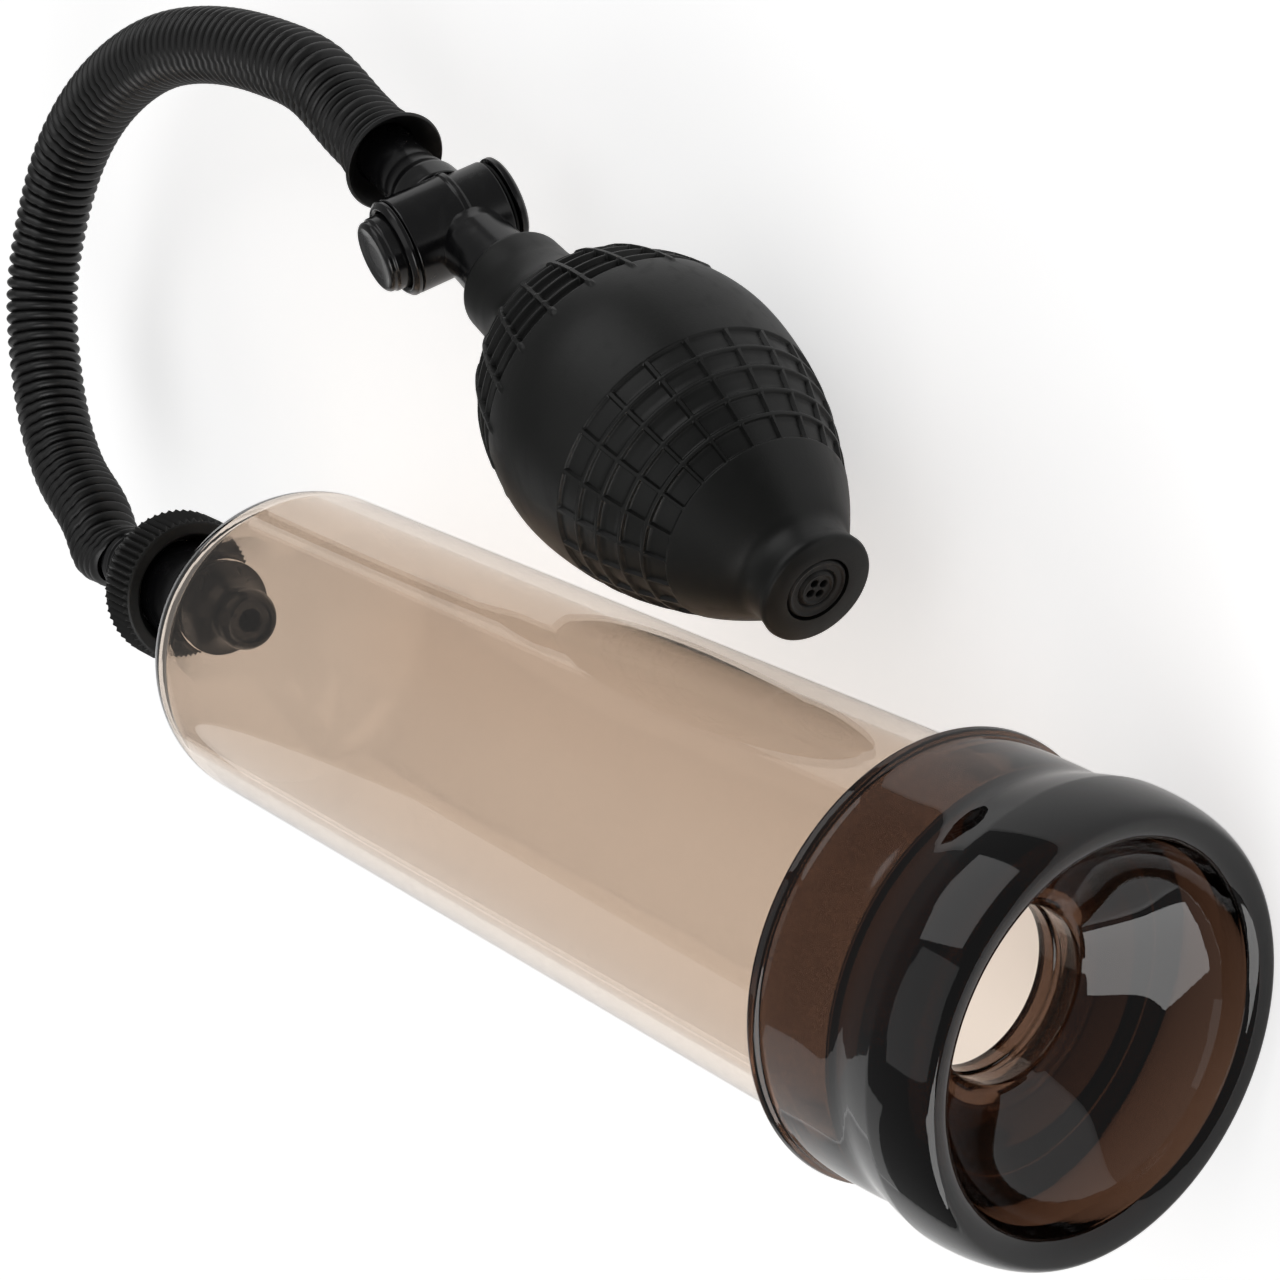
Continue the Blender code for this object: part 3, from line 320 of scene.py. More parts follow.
# %% [markdown]
# ## Black materials
# The black pieces differ mostly in gloss. The valve, collar and nipple are shiny hard plastic. The nut is matt. The
# bulb and the hose are satin rubber, a little greyer where the mould's texture scatters the light. One function wires
# them all: base colour between two tones, roughness between two values, and a bump from the grain. The colours are
# nearly black, because the light on the gloss does most of the work.

# %% Opaque finish
def grained_surface(name, smooth, rough, grain, depth, marks):
    """A Principled material: roughness follows the broad patches and the marks, the bump follows the grain."""
    made = bpy.data.materials.new(name)
    made.use_nodes = True
    tree = made.node_tree
    shader = tree.nodes["Principled BSDF"]
    spot = tree.nodes.new("ShaderNodeTexCoord").outputs["Object"]
    texture = add_node(tree, "Group", {"Vector": spot, "Grain Scale": grain}, node_tree=fine_grain)
    patches = texture.outputs["Patches"]
    last = add_node(tree, "MapRange", {"Value": patches, "To Min": smooth, "To Max": rough}).outputs["Result"]
    if marks:
        streaks = add_node(tree, "Group", {"Vector": spot, "Amount": marks}, node_tree=handling_marks)
        last = add_node(tree, "Math", {0: last, 1: streaks.outputs["Marks"]}, operation="ADD").outputs["Value"]
    tree.links.new(last, shader.inputs["Roughness"])
    bump = add_node(tree, "Bump", {"Height": texture.outputs["Height"], "Strength": 1.0, "Distance": depth})
    tree.links.new(bump.outputs["Normal"], shader.inputs["Normal"])
    return made, tree, shader, patches


def opaque_finish(name, dark, light, smooth, rough, grain, depth, marks, specular, metallic):
    """The grained surface, its base colour mixed from two tones by the patches."""
    made, tree, shader, patches = grained_surface(name, smooth, rough, grain, depth, marks)
    shader.inputs["Metallic"].default_value = metallic
    shader.inputs["Specular IOR Level"].default_value = specular
    tones = add_node(tree, "Mix", {"Factor": patches, "A": (*dark, 1), "B": (*light, 1)}, data_type="RGBA")
    tree.links.new(tones.outputs["Result"], shader.inputs["Base Color"])
    return made


# dark tone, light tone, roughness from and to, grain scale, bump depth, marks, specular level, metallic
BLACK_FINISHES = {
    "bulb_rubber": ((0.003, 0.0034, 0.003), (0.006, 0.0064, 0.0056), 0.37, 0.47, 2600, 1.5e-5, 0.05, 0.34, 0.0),
    "hose_rubber": ((0.004, 0.004, 0.004), (0.007, 0.007, 0.007), 0.34, 0.44, 3000, 1e-5, 0.05, 0.5, 0.0),
    "gloss_plastic": ((0.003, 0.003, 0.0035), (0.005, 0.005, 0.0055), 0.16, 0.26, 1800, 3e-6, 0.08, 0.5, 0.0),
    "matt_plastic": ((0.005, 0.005, 0.0045), (0.008, 0.008, 0.0075), 0.4, 0.5, 3400, 1.2e-5, 0.05, 0.35, 0.0),
    "seal_rubber": ((0.005, 0.005, 0.005), (0.009, 0.009, 0.009), 0.55, 0.7, 3000, 1e-5, 0.0, 0.3, 0.0),
    "spring_steel": ((0.50, 0.50, 0.51), (0.62, 0.62, 0.63), 0.22, 0.34, 3000, 3e-6, 0.0, 0.5, 1.0),
}
FINISH = {name: opaque_finish(name, *values) for name, values in BLACK_FINISHES.items()}
print("opaque finishes:", list(FINISH))

# %% [markdown]
# ## Clear materials
# The cylinder is hard, polished, smoke-tinted plastic. The sleeve is a soft, much darker brown one. Both really bend
# light, so they use transmission. The cylinder's thin wall only tints its surface. The sleeve is also filled with an
# absorbing volume, so its fat rim is nearly black and its thin throat glows brown. A path tracer finds no straight
# way from a lamp through a bending surface, and the floor below would go black, so for shadow rays only the surface
# is a tinted transparent one.

# %% Clear finish
def clear_finish(name, tint, shadow, smooth, rough, index, ripple, depth, marks, core_tint=None, density=0.0):
    """The grained surface, refracting, with a tinted transparent shader for shadow rays and an absorbing core."""
    made, tree, shader, _ = grained_surface(name, smooth, rough, ripple, depth, marks)
    result = tree.nodes["Material Output"]
    shader.inputs["Base Color"].default_value = (*tint, 1)
    shader.inputs["Transmission Weight"].default_value = 1.0
    shader.inputs["IOR"].default_value = index
    through = add_node(tree, "BsdfTransparent", {"Color": (*shadow, 1)})
    casting = tree.nodes.new("ShaderNodeLightPath").outputs["Is Shadow Ray"]
    blend = add_node(tree, "MixShader", {0: casting, 1: shader.outputs["BSDF"], 2: through.outputs["BSDF"]})
    tree.links.new(blend.outputs["Shader"], result.inputs["Surface"])
    if core_tint:
        core = add_node(tree, "VolumeAbsorption", {"Color": (*core_tint, 1), "Density": density})
        tree.links.new(core.outputs["Volume"], result.inputs["Volume"])
    return made


# surface tint, shadow tint, roughness from and to, index, ripple scale, bump depth, marks, core tint, core density
CLEAR_FINISHES = {
    "smoked_clear": ((0.675, 0.59, 0.515), (0.88, 0.84, 0.8), 0.0, 0.012, 1.49, 25, 3e-6, 0.01),
    "smoked_soft": ((0.19, 0.125, 0.095), (0.6, 0.5, 0.46), 0.0, 0.04, 1.48, 60, 1e-5, 0.03, (0.5, 0.38, 0.28), 300),
}
FINISH.update({name: clear_finish(name, *values) for name, values in CLEAR_FINISHES.items()})
print("clear finishes:", list(CLEAR_FINISHES))

# %% [markdown]
# ## Putting a piece in
# Every finished piece takes its material, rides on a CAD body, replaces the CAD node that it stands for, and names
# the material slot that it takes its finish from.


def dress(piece, finish, node, body="pump"):
    """Give the piece its finish and that finish's slot, its body, and the CAD node that it replaces."""
    piece.data.materials.clear()
    piece.data.materials.append(FINISH[finish])
    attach(piece, body)
    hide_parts(node)
    low, high = (np.array(corner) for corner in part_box(node))
    spots = np.array([corner.co for corner in piece.data.vertices])
    off = max(np.abs(spots.min(0) - low).max(), np.abs(spots.max(0) - high).max())
    print(f"{piece.name}: {len(piece.data.polygons)} faces, box within {off * 1000:.2f} mm of the CAD's")
    return piece


# %% [markdown]
# ## The clear cylinder
# On the real pump this is one piece of blown or moulded clear plastic: a straight barrel, a rounded shoulder, a
# tapered dome and a flat end with a hole. The wall's inside follows its outside, so both are drawn as one outline.

# %% Clear cylinder
TUBE_WALL = 0.0025
SLEEVE_GRIP = 0.013
SHOULDER_RADIUS = 0.0125
DOME_ANGLE = 33
DOME_FLAT_RADIUS = 0.0102
CLEARANCE = 0.0003  # gap between touching pieces
STEM_RADIUS = 0.0050
FINE_SIDES = 160  # for the two widest pieces

taper = math.radians(DOME_ANGLE)
cone_radius = TUBE_RADIUS - SHOULDER_RADIUS * (1 - math.cos(taper))
cone_length = (cone_radius - DOME_FLAT_RADIUS) / math.tan(taper)
dome_station = SHOULDER_STATION - SHOULDER_RADIUS * math.sin(taper) - cone_length
shoulder_centre = (SHOULDER_STATION, TUBE_RADIUS - SHOULDER_RADIUS)
inner_flat = DOME_FLAT_RADIUS + TUBE_WALL * math.tan(taper) - TUBE_WALL / math.cos(taper)
cylinder_outline = np.vstack(
    [
        [(SLEEVE_GRIP, TUBE_RADIUS)],
        arc(shoulder_centre, SHOULDER_RADIUS, 90, 90 + DOME_ANGLE, 14),
        [(dome_station, DOME_FLAT_RADIUS), (dome_station, STEM_RADIUS + CLEARANCE)],
        [(dome_station + TUBE_WALL, STEM_RADIUS + CLEARANCE), (dome_station + TUBE_WALL, inner_flat)],
        arc(shoulder_centre, SHOULDER_RADIUS - TUBE_WALL, 90 + DOME_ANGLE, 90, 14),
        [(SLEEVE_GRIP, TUBE_RADIUS - TUBE_WALL)],
    ]
)
clear_cylinder = turned("clear_cylinder", cylinder_outline, cylinder_axis, 0.0006, FINE_SIDES, 60)
dress(clear_cylinder, "smoked_clear", "cylinder_tube")

# %% [markdown]
# ## The soft entry sleeve
# The sleeve is one moulding of soft plastic, like a bottle teat turned inside out. A thin lip and a skirt grip the
# cylinder. A fat rolled rim turns inwards into a funnel, and the funnel narrows to a throat that hangs inside the
# cylinder. Quarters of an ellipse give the rim its fullness. The skirt and the funnel are splines through a few
# measured points, because a cone's straight side would show as a straight edge in the reflections.

# %% Entry sleeve
RIM_RADIUS, RIM_STATION = 0.0326, 0.0238
CREST_RADIUS, CREST_STATION = 0.0299, 0.0336
MOUTH_RADIUS, MOUTH_STATION = 0.0267, 0.0315
FUNNEL_WALL = 0.0030
THROAT_RADIUS, THROAT_WALL, THROAT_STATION = 0.0124, 0.0021, 0.0176
THROAT_LENGTH, THROAT_FLARE = 0.0101, 0.0023


def ellipse(centre, along_axis, outwards, start, end, count):
    """(centre + along cos a, centre + outwards sin a) from one angle to the other."""
    turn = np.radians(np.linspace(start, end, count))
    return np.column_stack([centre[0] + along_axis * np.cos(turn), centre[1] + outwards * np.sin(turn)])


throat_mouth = THROAT_RADIUS + THROAT_FLARE
throat_end = THROAT_STATION - THROAT_LENGTH
throat_outer = THROAT_RADIUS + THROAT_WALL
slope = math.radians(56)
back_station = THROAT_STATION - FUNNEL_WALL * math.sin(slope)
back_radius = throat_mouth + FUNNEL_WALL * math.cos(slope)
grip_radius = TUBE_RADIUS + CLEARANCE
sleeve_floor = SLEEVE_GRIP + CLEARANCE
FUNNEL_POINTS = [
    (MOUTH_STATION, MOUTH_RADIUS),
    (0.0294, 0.0261),
    (0.0266, 0.0247),
    (0.0236, 0.0221),
    (0.0207, 0.0186),
    (THROAT_STATION, throat_mouth),
    (THROAT_STATION - THROAT_FLARE * 0.55, THROAT_RADIUS + THROAT_FLARE * 0.35),
]
SKIRT_POINTS = [
    (0.0030, 0.0316),
    (0.0080, 0.03145),
    (0.0130, 0.03125),
    (0.0168, 0.0312),
    (0.0198, 0.0318),
    (RIM_STATION, RIM_RADIUS),
]
rim_reach, mouth_reach = CREST_STATION - RIM_STATION, CREST_STATION - MOUTH_STATION
lip = [(0.0, LIP_RADIUS - 0.0007), (0.0006, LIP_RADIUS), (0.0017, LIP_RADIUS - 0.0002), (0.0022, 0.0317)]
rim_outside = ellipse((RIM_STATION, CREST_RADIUS), rim_reach, RIM_RADIUS - CREST_RADIUS, 90, 0, 16)
rim_inside = ellipse((MOUTH_STATION, CREST_RADIUS), mouth_reach, MOUTH_RADIUS - CREST_RADIUS, 0, 90, 10)
groove = THROAT_RADIUS + 0.0004
throat = [
    (THROAT_STATION - THROAT_FLARE, THROAT_RADIUS),
    (throat_end + 0.0046, THROAT_RADIUS),
    (throat_end + 0.0042, groove),
    (throat_end + 0.0034, groove),
    (throat_end + 0.0030, THROAT_RADIUS),
    (throat_end, THROAT_RADIUS),
    (throat_end, throat_outer),
]
back = [
    (back_station - FUNNEL_WALL * 0.5, throat_outer),
    (back_station, back_radius),
    (sleeve_floor, TUBE_RADIUS - TUBE_WALL * 1.6),
    (sleeve_floor, grip_radius),
    (0.0, grip_radius),
]
skirt, funnel = smooth_curve(SKIRT_POINTS, 20)[:-1], smooth_curve(FUNNEL_POINTS, 27)[1:]
sleeve_outline = np.vstack([lip, skirt, rim_outside, rim_inside[1:], funnel, throat, back])
soft_sleeve = turned("soft_sleeve", sleeve_outline, cylinder_axis, 0.0007, FINE_SIDES, 60)
dress(soft_sleeve, "smoked_soft", "entry_sleeve", "sleeve")

# %% [markdown]
# ## The port through the dome
# A trumpet-shaped fitting sits inside the dome, its stem passes through the hole, and a collar closes it from
# outside. A rubber washer seals each side. All of them are turned black pieces. The nose has a slim waist and a bead,
# and a wider mouth round its bore. Its outline is a spline, as a moulded trumpet has no corners.

# %% Port pieces
WASHER = 0.0010
WASHER_RADIUS = 0.0084
PORT_BORE = 0.0021
COLLAR_RADIUS, COLLAR_LENGTH = 0.0097, 0.0115
stem_hole = STEM_RADIUS + CLEARANCE
inner_washer = dome_station + TUBE_WALL + CLEARANCE
fitting = inner_washer + WASHER + CLEARANCE
outer_washer = dome_station - CLEARANCE - WASHER
collar_start = outer_washer - CLEARANCE
collar_end = collar_start - COLLAR_LENGTH
stem_end = collar_end + WASHER


def pipe(start, end, inner, outer):
    """Outline of a plain tube or washer."""
    return [(start, inner), (end, inner), (end, outer), (start, outer)]


nose_curve = [
    (0.0003, 0.0091),
    (0.0009, 0.0080),
    (0.0020, 0.0067),
    (0.0036, 0.0056),
    (0.0052, 0.0051),
    (0.0066, 0.0054),
    (0.0080, 0.0058),
    (0.0096, 0.0056),
    (0.0106, 0.0050),
]
nose_side = smooth_curve(nose_curve, 30) + (fitting, 0)
nose_end = fitting + 0.0108
nose = [
    (stem_end, PORT_BORE),
    (nose_end - 0.0013, PORT_BORE),
    (nose_end - 0.0010, PORT_BORE * 1.15),
    (nose_end - 0.0009, 0.0037),
    (nose_end - 0.0001, 0.0041),
    (nose_end, 0.0046),
    *nose_side[::-1],
    (fitting, 0.0091),
    (fitting, STEM_RADIUS),
    (stem_end, STEM_RADIUS),
]
dress(turned("port_cone", nose, cylinder_axis, 0.0005), "gloss_plastic", "port_fitting")
for name, start, node in (
    ("washer_inside", inner_washer, "inner_washer"),
    ("washer_outside", outer_washer, "outer_washer"),
):
    washer = pipe(start, start + WASHER, stem_hole, WASHER_RADIUS)
    dress(turned(name, washer, cylinder_axis, 0.0002), "seal_rubber", node)
collar = pipe(collar_end, collar_start, stem_hole, COLLAR_RADIUS)
dress(turned("gloss_collar", collar, cylinder_axis, 0.0006), "gloss_plastic", "dome_collar")

# %% [markdown]
# ## The knurled nut
# The nut's rim has sixty sharp ridges for the fingers. Instead of sixty separate solids, the radius itself is made a
# function of the angle: a triangle wave, which fades out on the chamfers and inside the cup.

# %% Coupling nut
KNURL_COUNT = 60
KNURL_DEPTH = 0.0008
NUT_RADIUS = 0.0145
NUT_CHAMFER = 0.0009
NUT_HOLE = 0.0060
PORT_RING = 0.0015
NIPPLE_FLANGE = 0.0015
nipple_station = collar_end - CLEARANCE - PORT_RING - CLEARANCE
nut_seat = nipple_station - NIPPLE_FLANGE - CLEARANCE
nut_front = collar_end + 0.0029
nut_back = nut_seat - 0.0022


def knurled_nut():
    """Radius less a triangle wave of the angle, sixty to a turn, only where the outline is near its full radius."""
    outline = [
        (nut_back, NUT_RADIUS - NUT_CHAMFER),
        (nut_back + NUT_CHAMFER, NUT_RADIUS),
        (nut_front - NUT_CHAMFER, NUT_RADIUS),
        (nut_front, NUT_RADIUS - NUT_CHAMFER),
        (nut_front, 0.0113),
        (nut_front - 0.0011, 0.0108),
        (nut_front - 0.0022, COLLAR_RADIUS + CLEARANCE),
        (nut_seat, COLLAR_RADIUS + CLEARANCE),
        (nut_seat, NUT_HOLE),
        (nut_back, NUT_HOLE),
    ]
    ring = soften(outline, 0.0004)
    columns = KNURL_COUNT * 8
    points = turned_points(ring, columns)
    angle = np.arange(columns) * 2 * np.pi / columns
    groove = np.abs(np.mod(KNURL_COUNT * angle / (2 * np.pi), 1) * 2 - 1)
    full = np.clip((ring[:, 1] - (NUT_RADIUS - 0.0007)) / 0.0005, 0, 1)[:, None]
    share = 1 - full * groove[None, :] * KNURL_DEPTH / NUT_RADIUS
    points[..., :2] *= share[..., None]
    return grid_piece("knurled_nut", points, cylinder_axis, 60)


dress(knurled_nut(), "matt_plastic", "coupling_nut", "nut")

# %% [markdown]
# ## The nipple
# A glossy tube with a flange that the nut clamps, and a barb that the hose is pushed over.

# %% Hose nipple
NIPPLE_RADIUS, FLANGE_RADIUS = 0.0057, 0.0093
NIPPLE_LENGTH = 0.0208
HOSE_BORE = 0.0049
AIR_BORE = 0.0024
BARB_RADIUS = HOSE_BORE * math.cos(math.pi / 8) - CLEARANCE
flange_back = nipple_station - NIPPLE_FLANGE
hose_start = flange_back - NIPPLE_LENGTH
nipple = [
    (nipple_station, AIR_BORE),
    (nipple_station, FLANGE_RADIUS),
    (flange_back, FLANGE_RADIUS),
    (flange_back, NIPPLE_RADIUS),
    (hose_start + 0.0042, NIPPLE_RADIUS),
    (hose_start + 0.0038, NIPPLE_RADIUS + 0.0006),
    (hose_start + 0.0022, NIPPLE_RADIUS + 0.0006),
    (hose_start + 0.0018, NIPPLE_RADIUS),
    (hose_start + CLEARANCE, NIPPLE_RADIUS),
    (hose_start + CLEARANCE, BARB_RADIUS),
    (hose_start - 0.0052, BARB_RADIUS),
    (hose_start - 0.0070, BARB_RADIUS - 0.0006),
    (hose_start - 0.0070, AIR_BORE),
]
dress(turned("nipple", nipple, cylinder_axis, 0.0003), "gloss_plastic", "hose_nipple")

# %% [markdown]
# ## The ribbed hose
# The hose has a real length: about 219 mm from end to end, all of it in the photograph. Its centre line is
# a smooth curve through the points of the CAD route. A ring is carried along it, kept level with the table, and its
# radius goes as the absolute sine of the distance, which gives round ribs with sharp valleys, like stacked rings. The
# nipple holds the hose straight while the bend pulls it aside, so the first ribs lean towards the bend.

# %% Hose centre line
HOSE_RADIUS = 0.00725
HOSE_ROOT = 0.0061
RIB_PITCH = 0.0023
RIB_POWER = 0.7  # below 1 makes the ribs fuller and the valleys narrower
SEAM_ANGLE, SEAM_WIDTH, SEAM_DEPTH = 0.5, 0.09, 0.35  # two flash lines opposite each other
RIB_LEAD = 0.022  # the first ribs take their tilt from this far along the bend
CUFF_STATION, CUFF_LENGTH = BARREL_STATION + 0.0215, 0.0077
hose_end = CUFF_STATION + CUFF_LENGTH + CLEARANCE
HOSE_ROUTE = np.array(
    [
        (0.0040, 0.2466, 0.0265),
        (0.0107, 0.2592, 0.0260),
        (0.0200, 0.2699, 0.0255),
        (0.0321, 0.2775, 0.0249),
        (0.0453, 0.2818, 0.0245),
        (0.0592, 0.2812, 0.0240),
        (0.0727, 0.2770, 0.0236),
        (0.0842, 0.2686, 0.0233),
        (0.0927, 0.2572, 0.0230),
        (0.0983, 0.2441, 0.0228),
        (0.1010, 0.2301, 0.0226),
        (0.1017, 0.2159, 0.0224),
        (0.1008, 0.2016, 0.0221),
        (0.0981, 0.1880, 0.0218),
    ]
)
straight = np.array([(0, 0, 0), (0, 0, 0.5), (0, 0, 1)]) * HOSE_RADIUS
off_nipple = to_frame((0, 0, hose_start) - straight, cylinder_axis)
into_cuff = to_frame((0, 0, hose_end) + straight[::-1], bulb_axis)
hose_line = smooth_curve(np.vstack([off_nipple, HOSE_ROUTE + ORIGIN, into_cuff]), 900)
hose_walk = np.concatenate([[0], np.cumsum(np.linalg.norm(np.diff(hose_line, axis=0), axis=1))])
hose_length = float(hose_walk[-1])
print("hose length, mm:", round(hose_length * 1000, 1))

# %% Ribbed tube along the line
def carried_rings(count):
    """Points at equal steps along the hose, and two side vectors: one upright, one square to it and to the hose.

    Near the start the direction is read further along the hose, by lead times exp(-(distance / (0.85 lead))^2).
    """
    steps = np.linspace(0, hose_length, count)
    spots = np.column_stack([np.interp(steps, hose_walk, hose_line[:, axis]) for axis in range(3)])
    ahead = np.gradient(spots, axis=0)
    lead = steps + RIB_LEAD * np.exp(-((steps / (RIB_LEAD * 0.85)) ** 2))
    ahead = np.column_stack([np.interp(lead, steps, ahead[:, axis]) for axis in range(3)])
    ahead /= np.linalg.norm(ahead, axis=1)[:, None]
    up = np.array((0, 0, 1.0)) - ahead * ahead[:, 2:3]
    up /= np.linalg.norm(up, axis=1)[:, None]
    return steps, spots, up, np.cross(ahead, up)


def ribbed_hose():
    """Outer wall: root + height |sin(pi s / pitch)|^power, less at the seams; inner wall: the bore; ends join them."""
    ribs = round(hose_length / RIB_PITCH)
    steps, spots, up, side = carried_rings(ribs * 10 + 1)
    columns = 40
    angle = np.arange(columns) * 2 * np.pi / columns
    wave = np.abs(np.sin(np.pi * steps * ribs / hose_length)) ** RIB_POWER
    seam = 1 - SEAM_DEPTH * np.exp(-((np.sin(angle - SEAM_ANGLE) / SEAM_WIDTH) ** 2))
    outer = HOSE_ROOT + (HOSE_RADIUS - HOSE_ROOT) * wave[:, None] * seam[None, :]
    ring = np.cos(angle)[None, :, None] * up[:, None] + np.sin(angle)[None, :, None] * side[:, None]
    wall = spots[:, None] + outer[..., None] * ring
    inner = (spots[:, None] + HOSE_BORE * ring)[::-20]
    points = np.concatenate([wall, inner], axis=0)
    return make_mesh("corrugated_hose", points.reshape(-1, 3), grid_faces(len(points), columns, True), 80)


hose = dress(ribbed_hose(), "hose_rubber", "ribbed_hose")

# %% [markdown]
# ## The hose's cuff
# Where the hose meets the valve it ends in a flared, dished collar with a few fine rings behind it.

# %% Hose cuff
CUFF_RADIUS = 0.0094
HOSE_STEM_RADIUS = 0.0054
cuff_bore = HOSE_STEM_RADIUS + CLEARANCE
ring_stations = CUFF_STATION + np.linspace(0.0031, CUFF_LENGTH, 33)
ring_radii = 0.0066 + 0.0009 * np.abs(np.sin(np.linspace(0, 3 * np.pi, 33))) ** RIB_POWER
cuff_outline = np.vstack(
    [
        [(CUFF_STATION + 0.0040, cuff_bore), (CUFF_STATION + 0.0034, 0.0063)],
        [(CUFF_STATION + 0.0012, 0.0080), (CUFF_STATION + 0.0001, CUFF_RADIUS - 0.0004)],
        [(CUFF_STATION + 0.0007, CUFF_RADIUS), (CUFF_STATION + 0.0024, 0.0082)],
        np.column_stack([ring_stations, ring_radii]),
        [(CUFF_STATION + CUFF_LENGTH, cuff_bore)],
    ]
)
dress(turned("dished_cuff", cuff_outline, bulb_axis, 0.00018, 80, 60), "hose_rubber", "hose_cuff")

# %% [markdown]
# ## The release valve
# The valve is a glossy T. A wide barrel holds the push button, a narrower one behind it is closed by a cap, and a
# stem on each side goes into the bulb and the hose. Each arm is a turned surface, and together they make one piece.
# The stems begin inside the barrel, so the part of them that would stand in the button's way is pressed flat.

# %% Valve body
BARREL_RADIUS, BARREL_LENGTH, BARREL_BACK, BARREL_BORE = 0.0084, 0.0104, 0.0010, 0.0076
TAIL_RADIUS, TAIL_LENGTH, TAIL_BORE = 0.0077, 0.0078, 0.0052
SEAT_LOW, SEAT_HIGH, SEAT_HOLE = 0.0040, 0.0056, 0.0025
NECK_BORE = 0.0049
BULB_LENGTH = 0.0915
stem_shoulder = BULB_LENGTH + CLEARANCE
cut_end = hose_end - 2 * CLEARANCE


def under_bore(points):
    """Points within the button's bore and above its floor, brought down to just below the floor."""
    local = (points - button_axis[:3, 3]) @ button_axis[:3, :3]
    floor_height = SEAT_HIGH - 0.0002
    standing = (np.hypot(local[:, 0], local[:, 1]) < BARREL_BORE + 0.0002) & (local[:, 2] > floor_height)
    local[standing, 2] = floor_height
    return to_frame(local, button_axis)


def joined(name, surfaces, sharp=38):
    """Several closed surfaces, each (outline, axis, reach, sides), in one mesh. The stems stay out of the bore."""
    all_points, all_faces, count = [], [], 0
    for outline, axis, reach, sides in surfaces:
        ring = soften(outline, reach)
        spots = to_frame(turned_points(ring, sides).reshape(-1, 3), axis)
        all_points.append(spots if axis is button_axis else under_bore(spots))
        all_faces.append(grid_faces(len(ring), sides, True) + count)
        count += len(ring) * sides
    return make_mesh(name, np.vstack(all_points), np.vstack(all_faces), sharp)


barrel = [
    (-TAIL_LENGTH, TAIL_BORE),
    (-TAIL_LENGTH, TAIL_RADIUS),
    (-BARREL_BACK - 0.0002, TAIL_RADIUS),
    (-BARREL_BACK, BARREL_RADIUS + 0.00025),
    (-BARREL_BACK + 0.0009, BARREL_RADIUS + 0.0002),
    (-BARREL_BACK + 0.0012, BARREL_RADIUS),
    (BARREL_LENGTH, BARREL_RADIUS),
    (BARREL_LENGTH, BARREL_BORE),
    (SEAT_HIGH, BARREL_BORE),
    (SEAT_HIGH, SEAT_HOLE),
    (SEAT_LOW, SEAT_HOLE),
    (SEAT_LOW, TAIL_BORE),
]
bulb_stem = [
    (stem_shoulder - 0.0098, AIR_BORE),
    (stem_shoulder - 0.0098, NECK_BORE - CLEARANCE),
    (stem_shoulder, NECK_BORE - CLEARANCE),
    (stem_shoulder, 0.0068),
    (BARREL_STATION - 0.0086, 0.0064),
    (BARREL_STATION - 0.0079, 0.0063),
    (BARREL_STATION - 0.0070, 0.0062),
    (BARREL_STATION - 0.0056, 0.0062),
    (BARREL_STATION - 0.0056, AIR_BORE),
]
hose_stem = [
    (BARREL_STATION + 0.0056, AIR_BORE),
    (BARREL_STATION + 0.0056, 0.0067),
    (BARREL_STATION + 0.0079, 0.0066),
    (BARREL_STATION + 0.0100, 0.0065),
    (BARREL_STATION + 0.0118, 0.0060),
    (BARREL_STATION + 0.0150, HOSE_STEM_RADIUS + 0.0001),
    (BARREL_STATION + 0.0180, HOSE_STEM_RADIUS),
    (cut_end, HOSE_STEM_RADIUS),
    (cut_end, BARB_RADIUS),
    (hose_end + 0.0060, BARB_RADIUS - 0.0002),
    (hose_end + 0.0066, BARB_RADIUS - 0.0006),
    (hose_end + 0.0066, AIR_BORE),
]
valve = joined(
    "valve_tee",
    [(barrel, button_axis, 0.0003, 96), (bulb_stem, bulb_axis, 0.0004, 72), (hose_stem, bulb_axis, 0.0004, 72)],
)
dress(valve, "gloss_plastic", "valve_body")

# %% [markdown]
# ## Bezel, button and cap
# The bezel is a chamfered ring in the barrel's mouth. The button stands proud of it, with a step round its side and a
# shallow dish in its face. The cap at the far end has a groove where it meets the barrel.

# %% Bezel, button and cap
BUTTON_RADIUS, BUTTON_HOLLOW, BUTTON_RISE, BUTTON_TRAVEL = 0.0065, 0.0052, 0.0034, 0.0025
BEZEL_THICKNESS = 0.0014
FLANGE_EDGE = BARREL_BORE - CLEARANCE
bezel_start = BARREL_LENGTH + CLEARANCE
bezel_end = bezel_start + BEZEL_THICKNESS
button_bottom = SEAT_HIGH + BUTTON_TRAVEL + CLEARANCE
button_flange = button_bottom + 0.0010
button_top = bezel_end + BUTTON_RISE
bezel = [
    (button_flange + CLEARANCE, BUTTON_RADIUS + CLEARANCE),
    (bezel_end - 0.0006, BUTTON_RADIUS + CLEARANCE),
    (bezel_end, BUTTON_RADIUS + 0.0008),
    (bezel_end, BARREL_RADIUS - 0.0007),
    (bezel_end - 0.0007, BARREL_RADIUS),
    (bezel_start, BARREL_RADIUS),
    (bezel_start, FLANGE_EDGE),
    (button_flange + CLEARANCE, FLANGE_EDGE),
]
dress(turned("bezel_ring", bezel, button_axis, 0.0002), "gloss_plastic", "button_bezel")
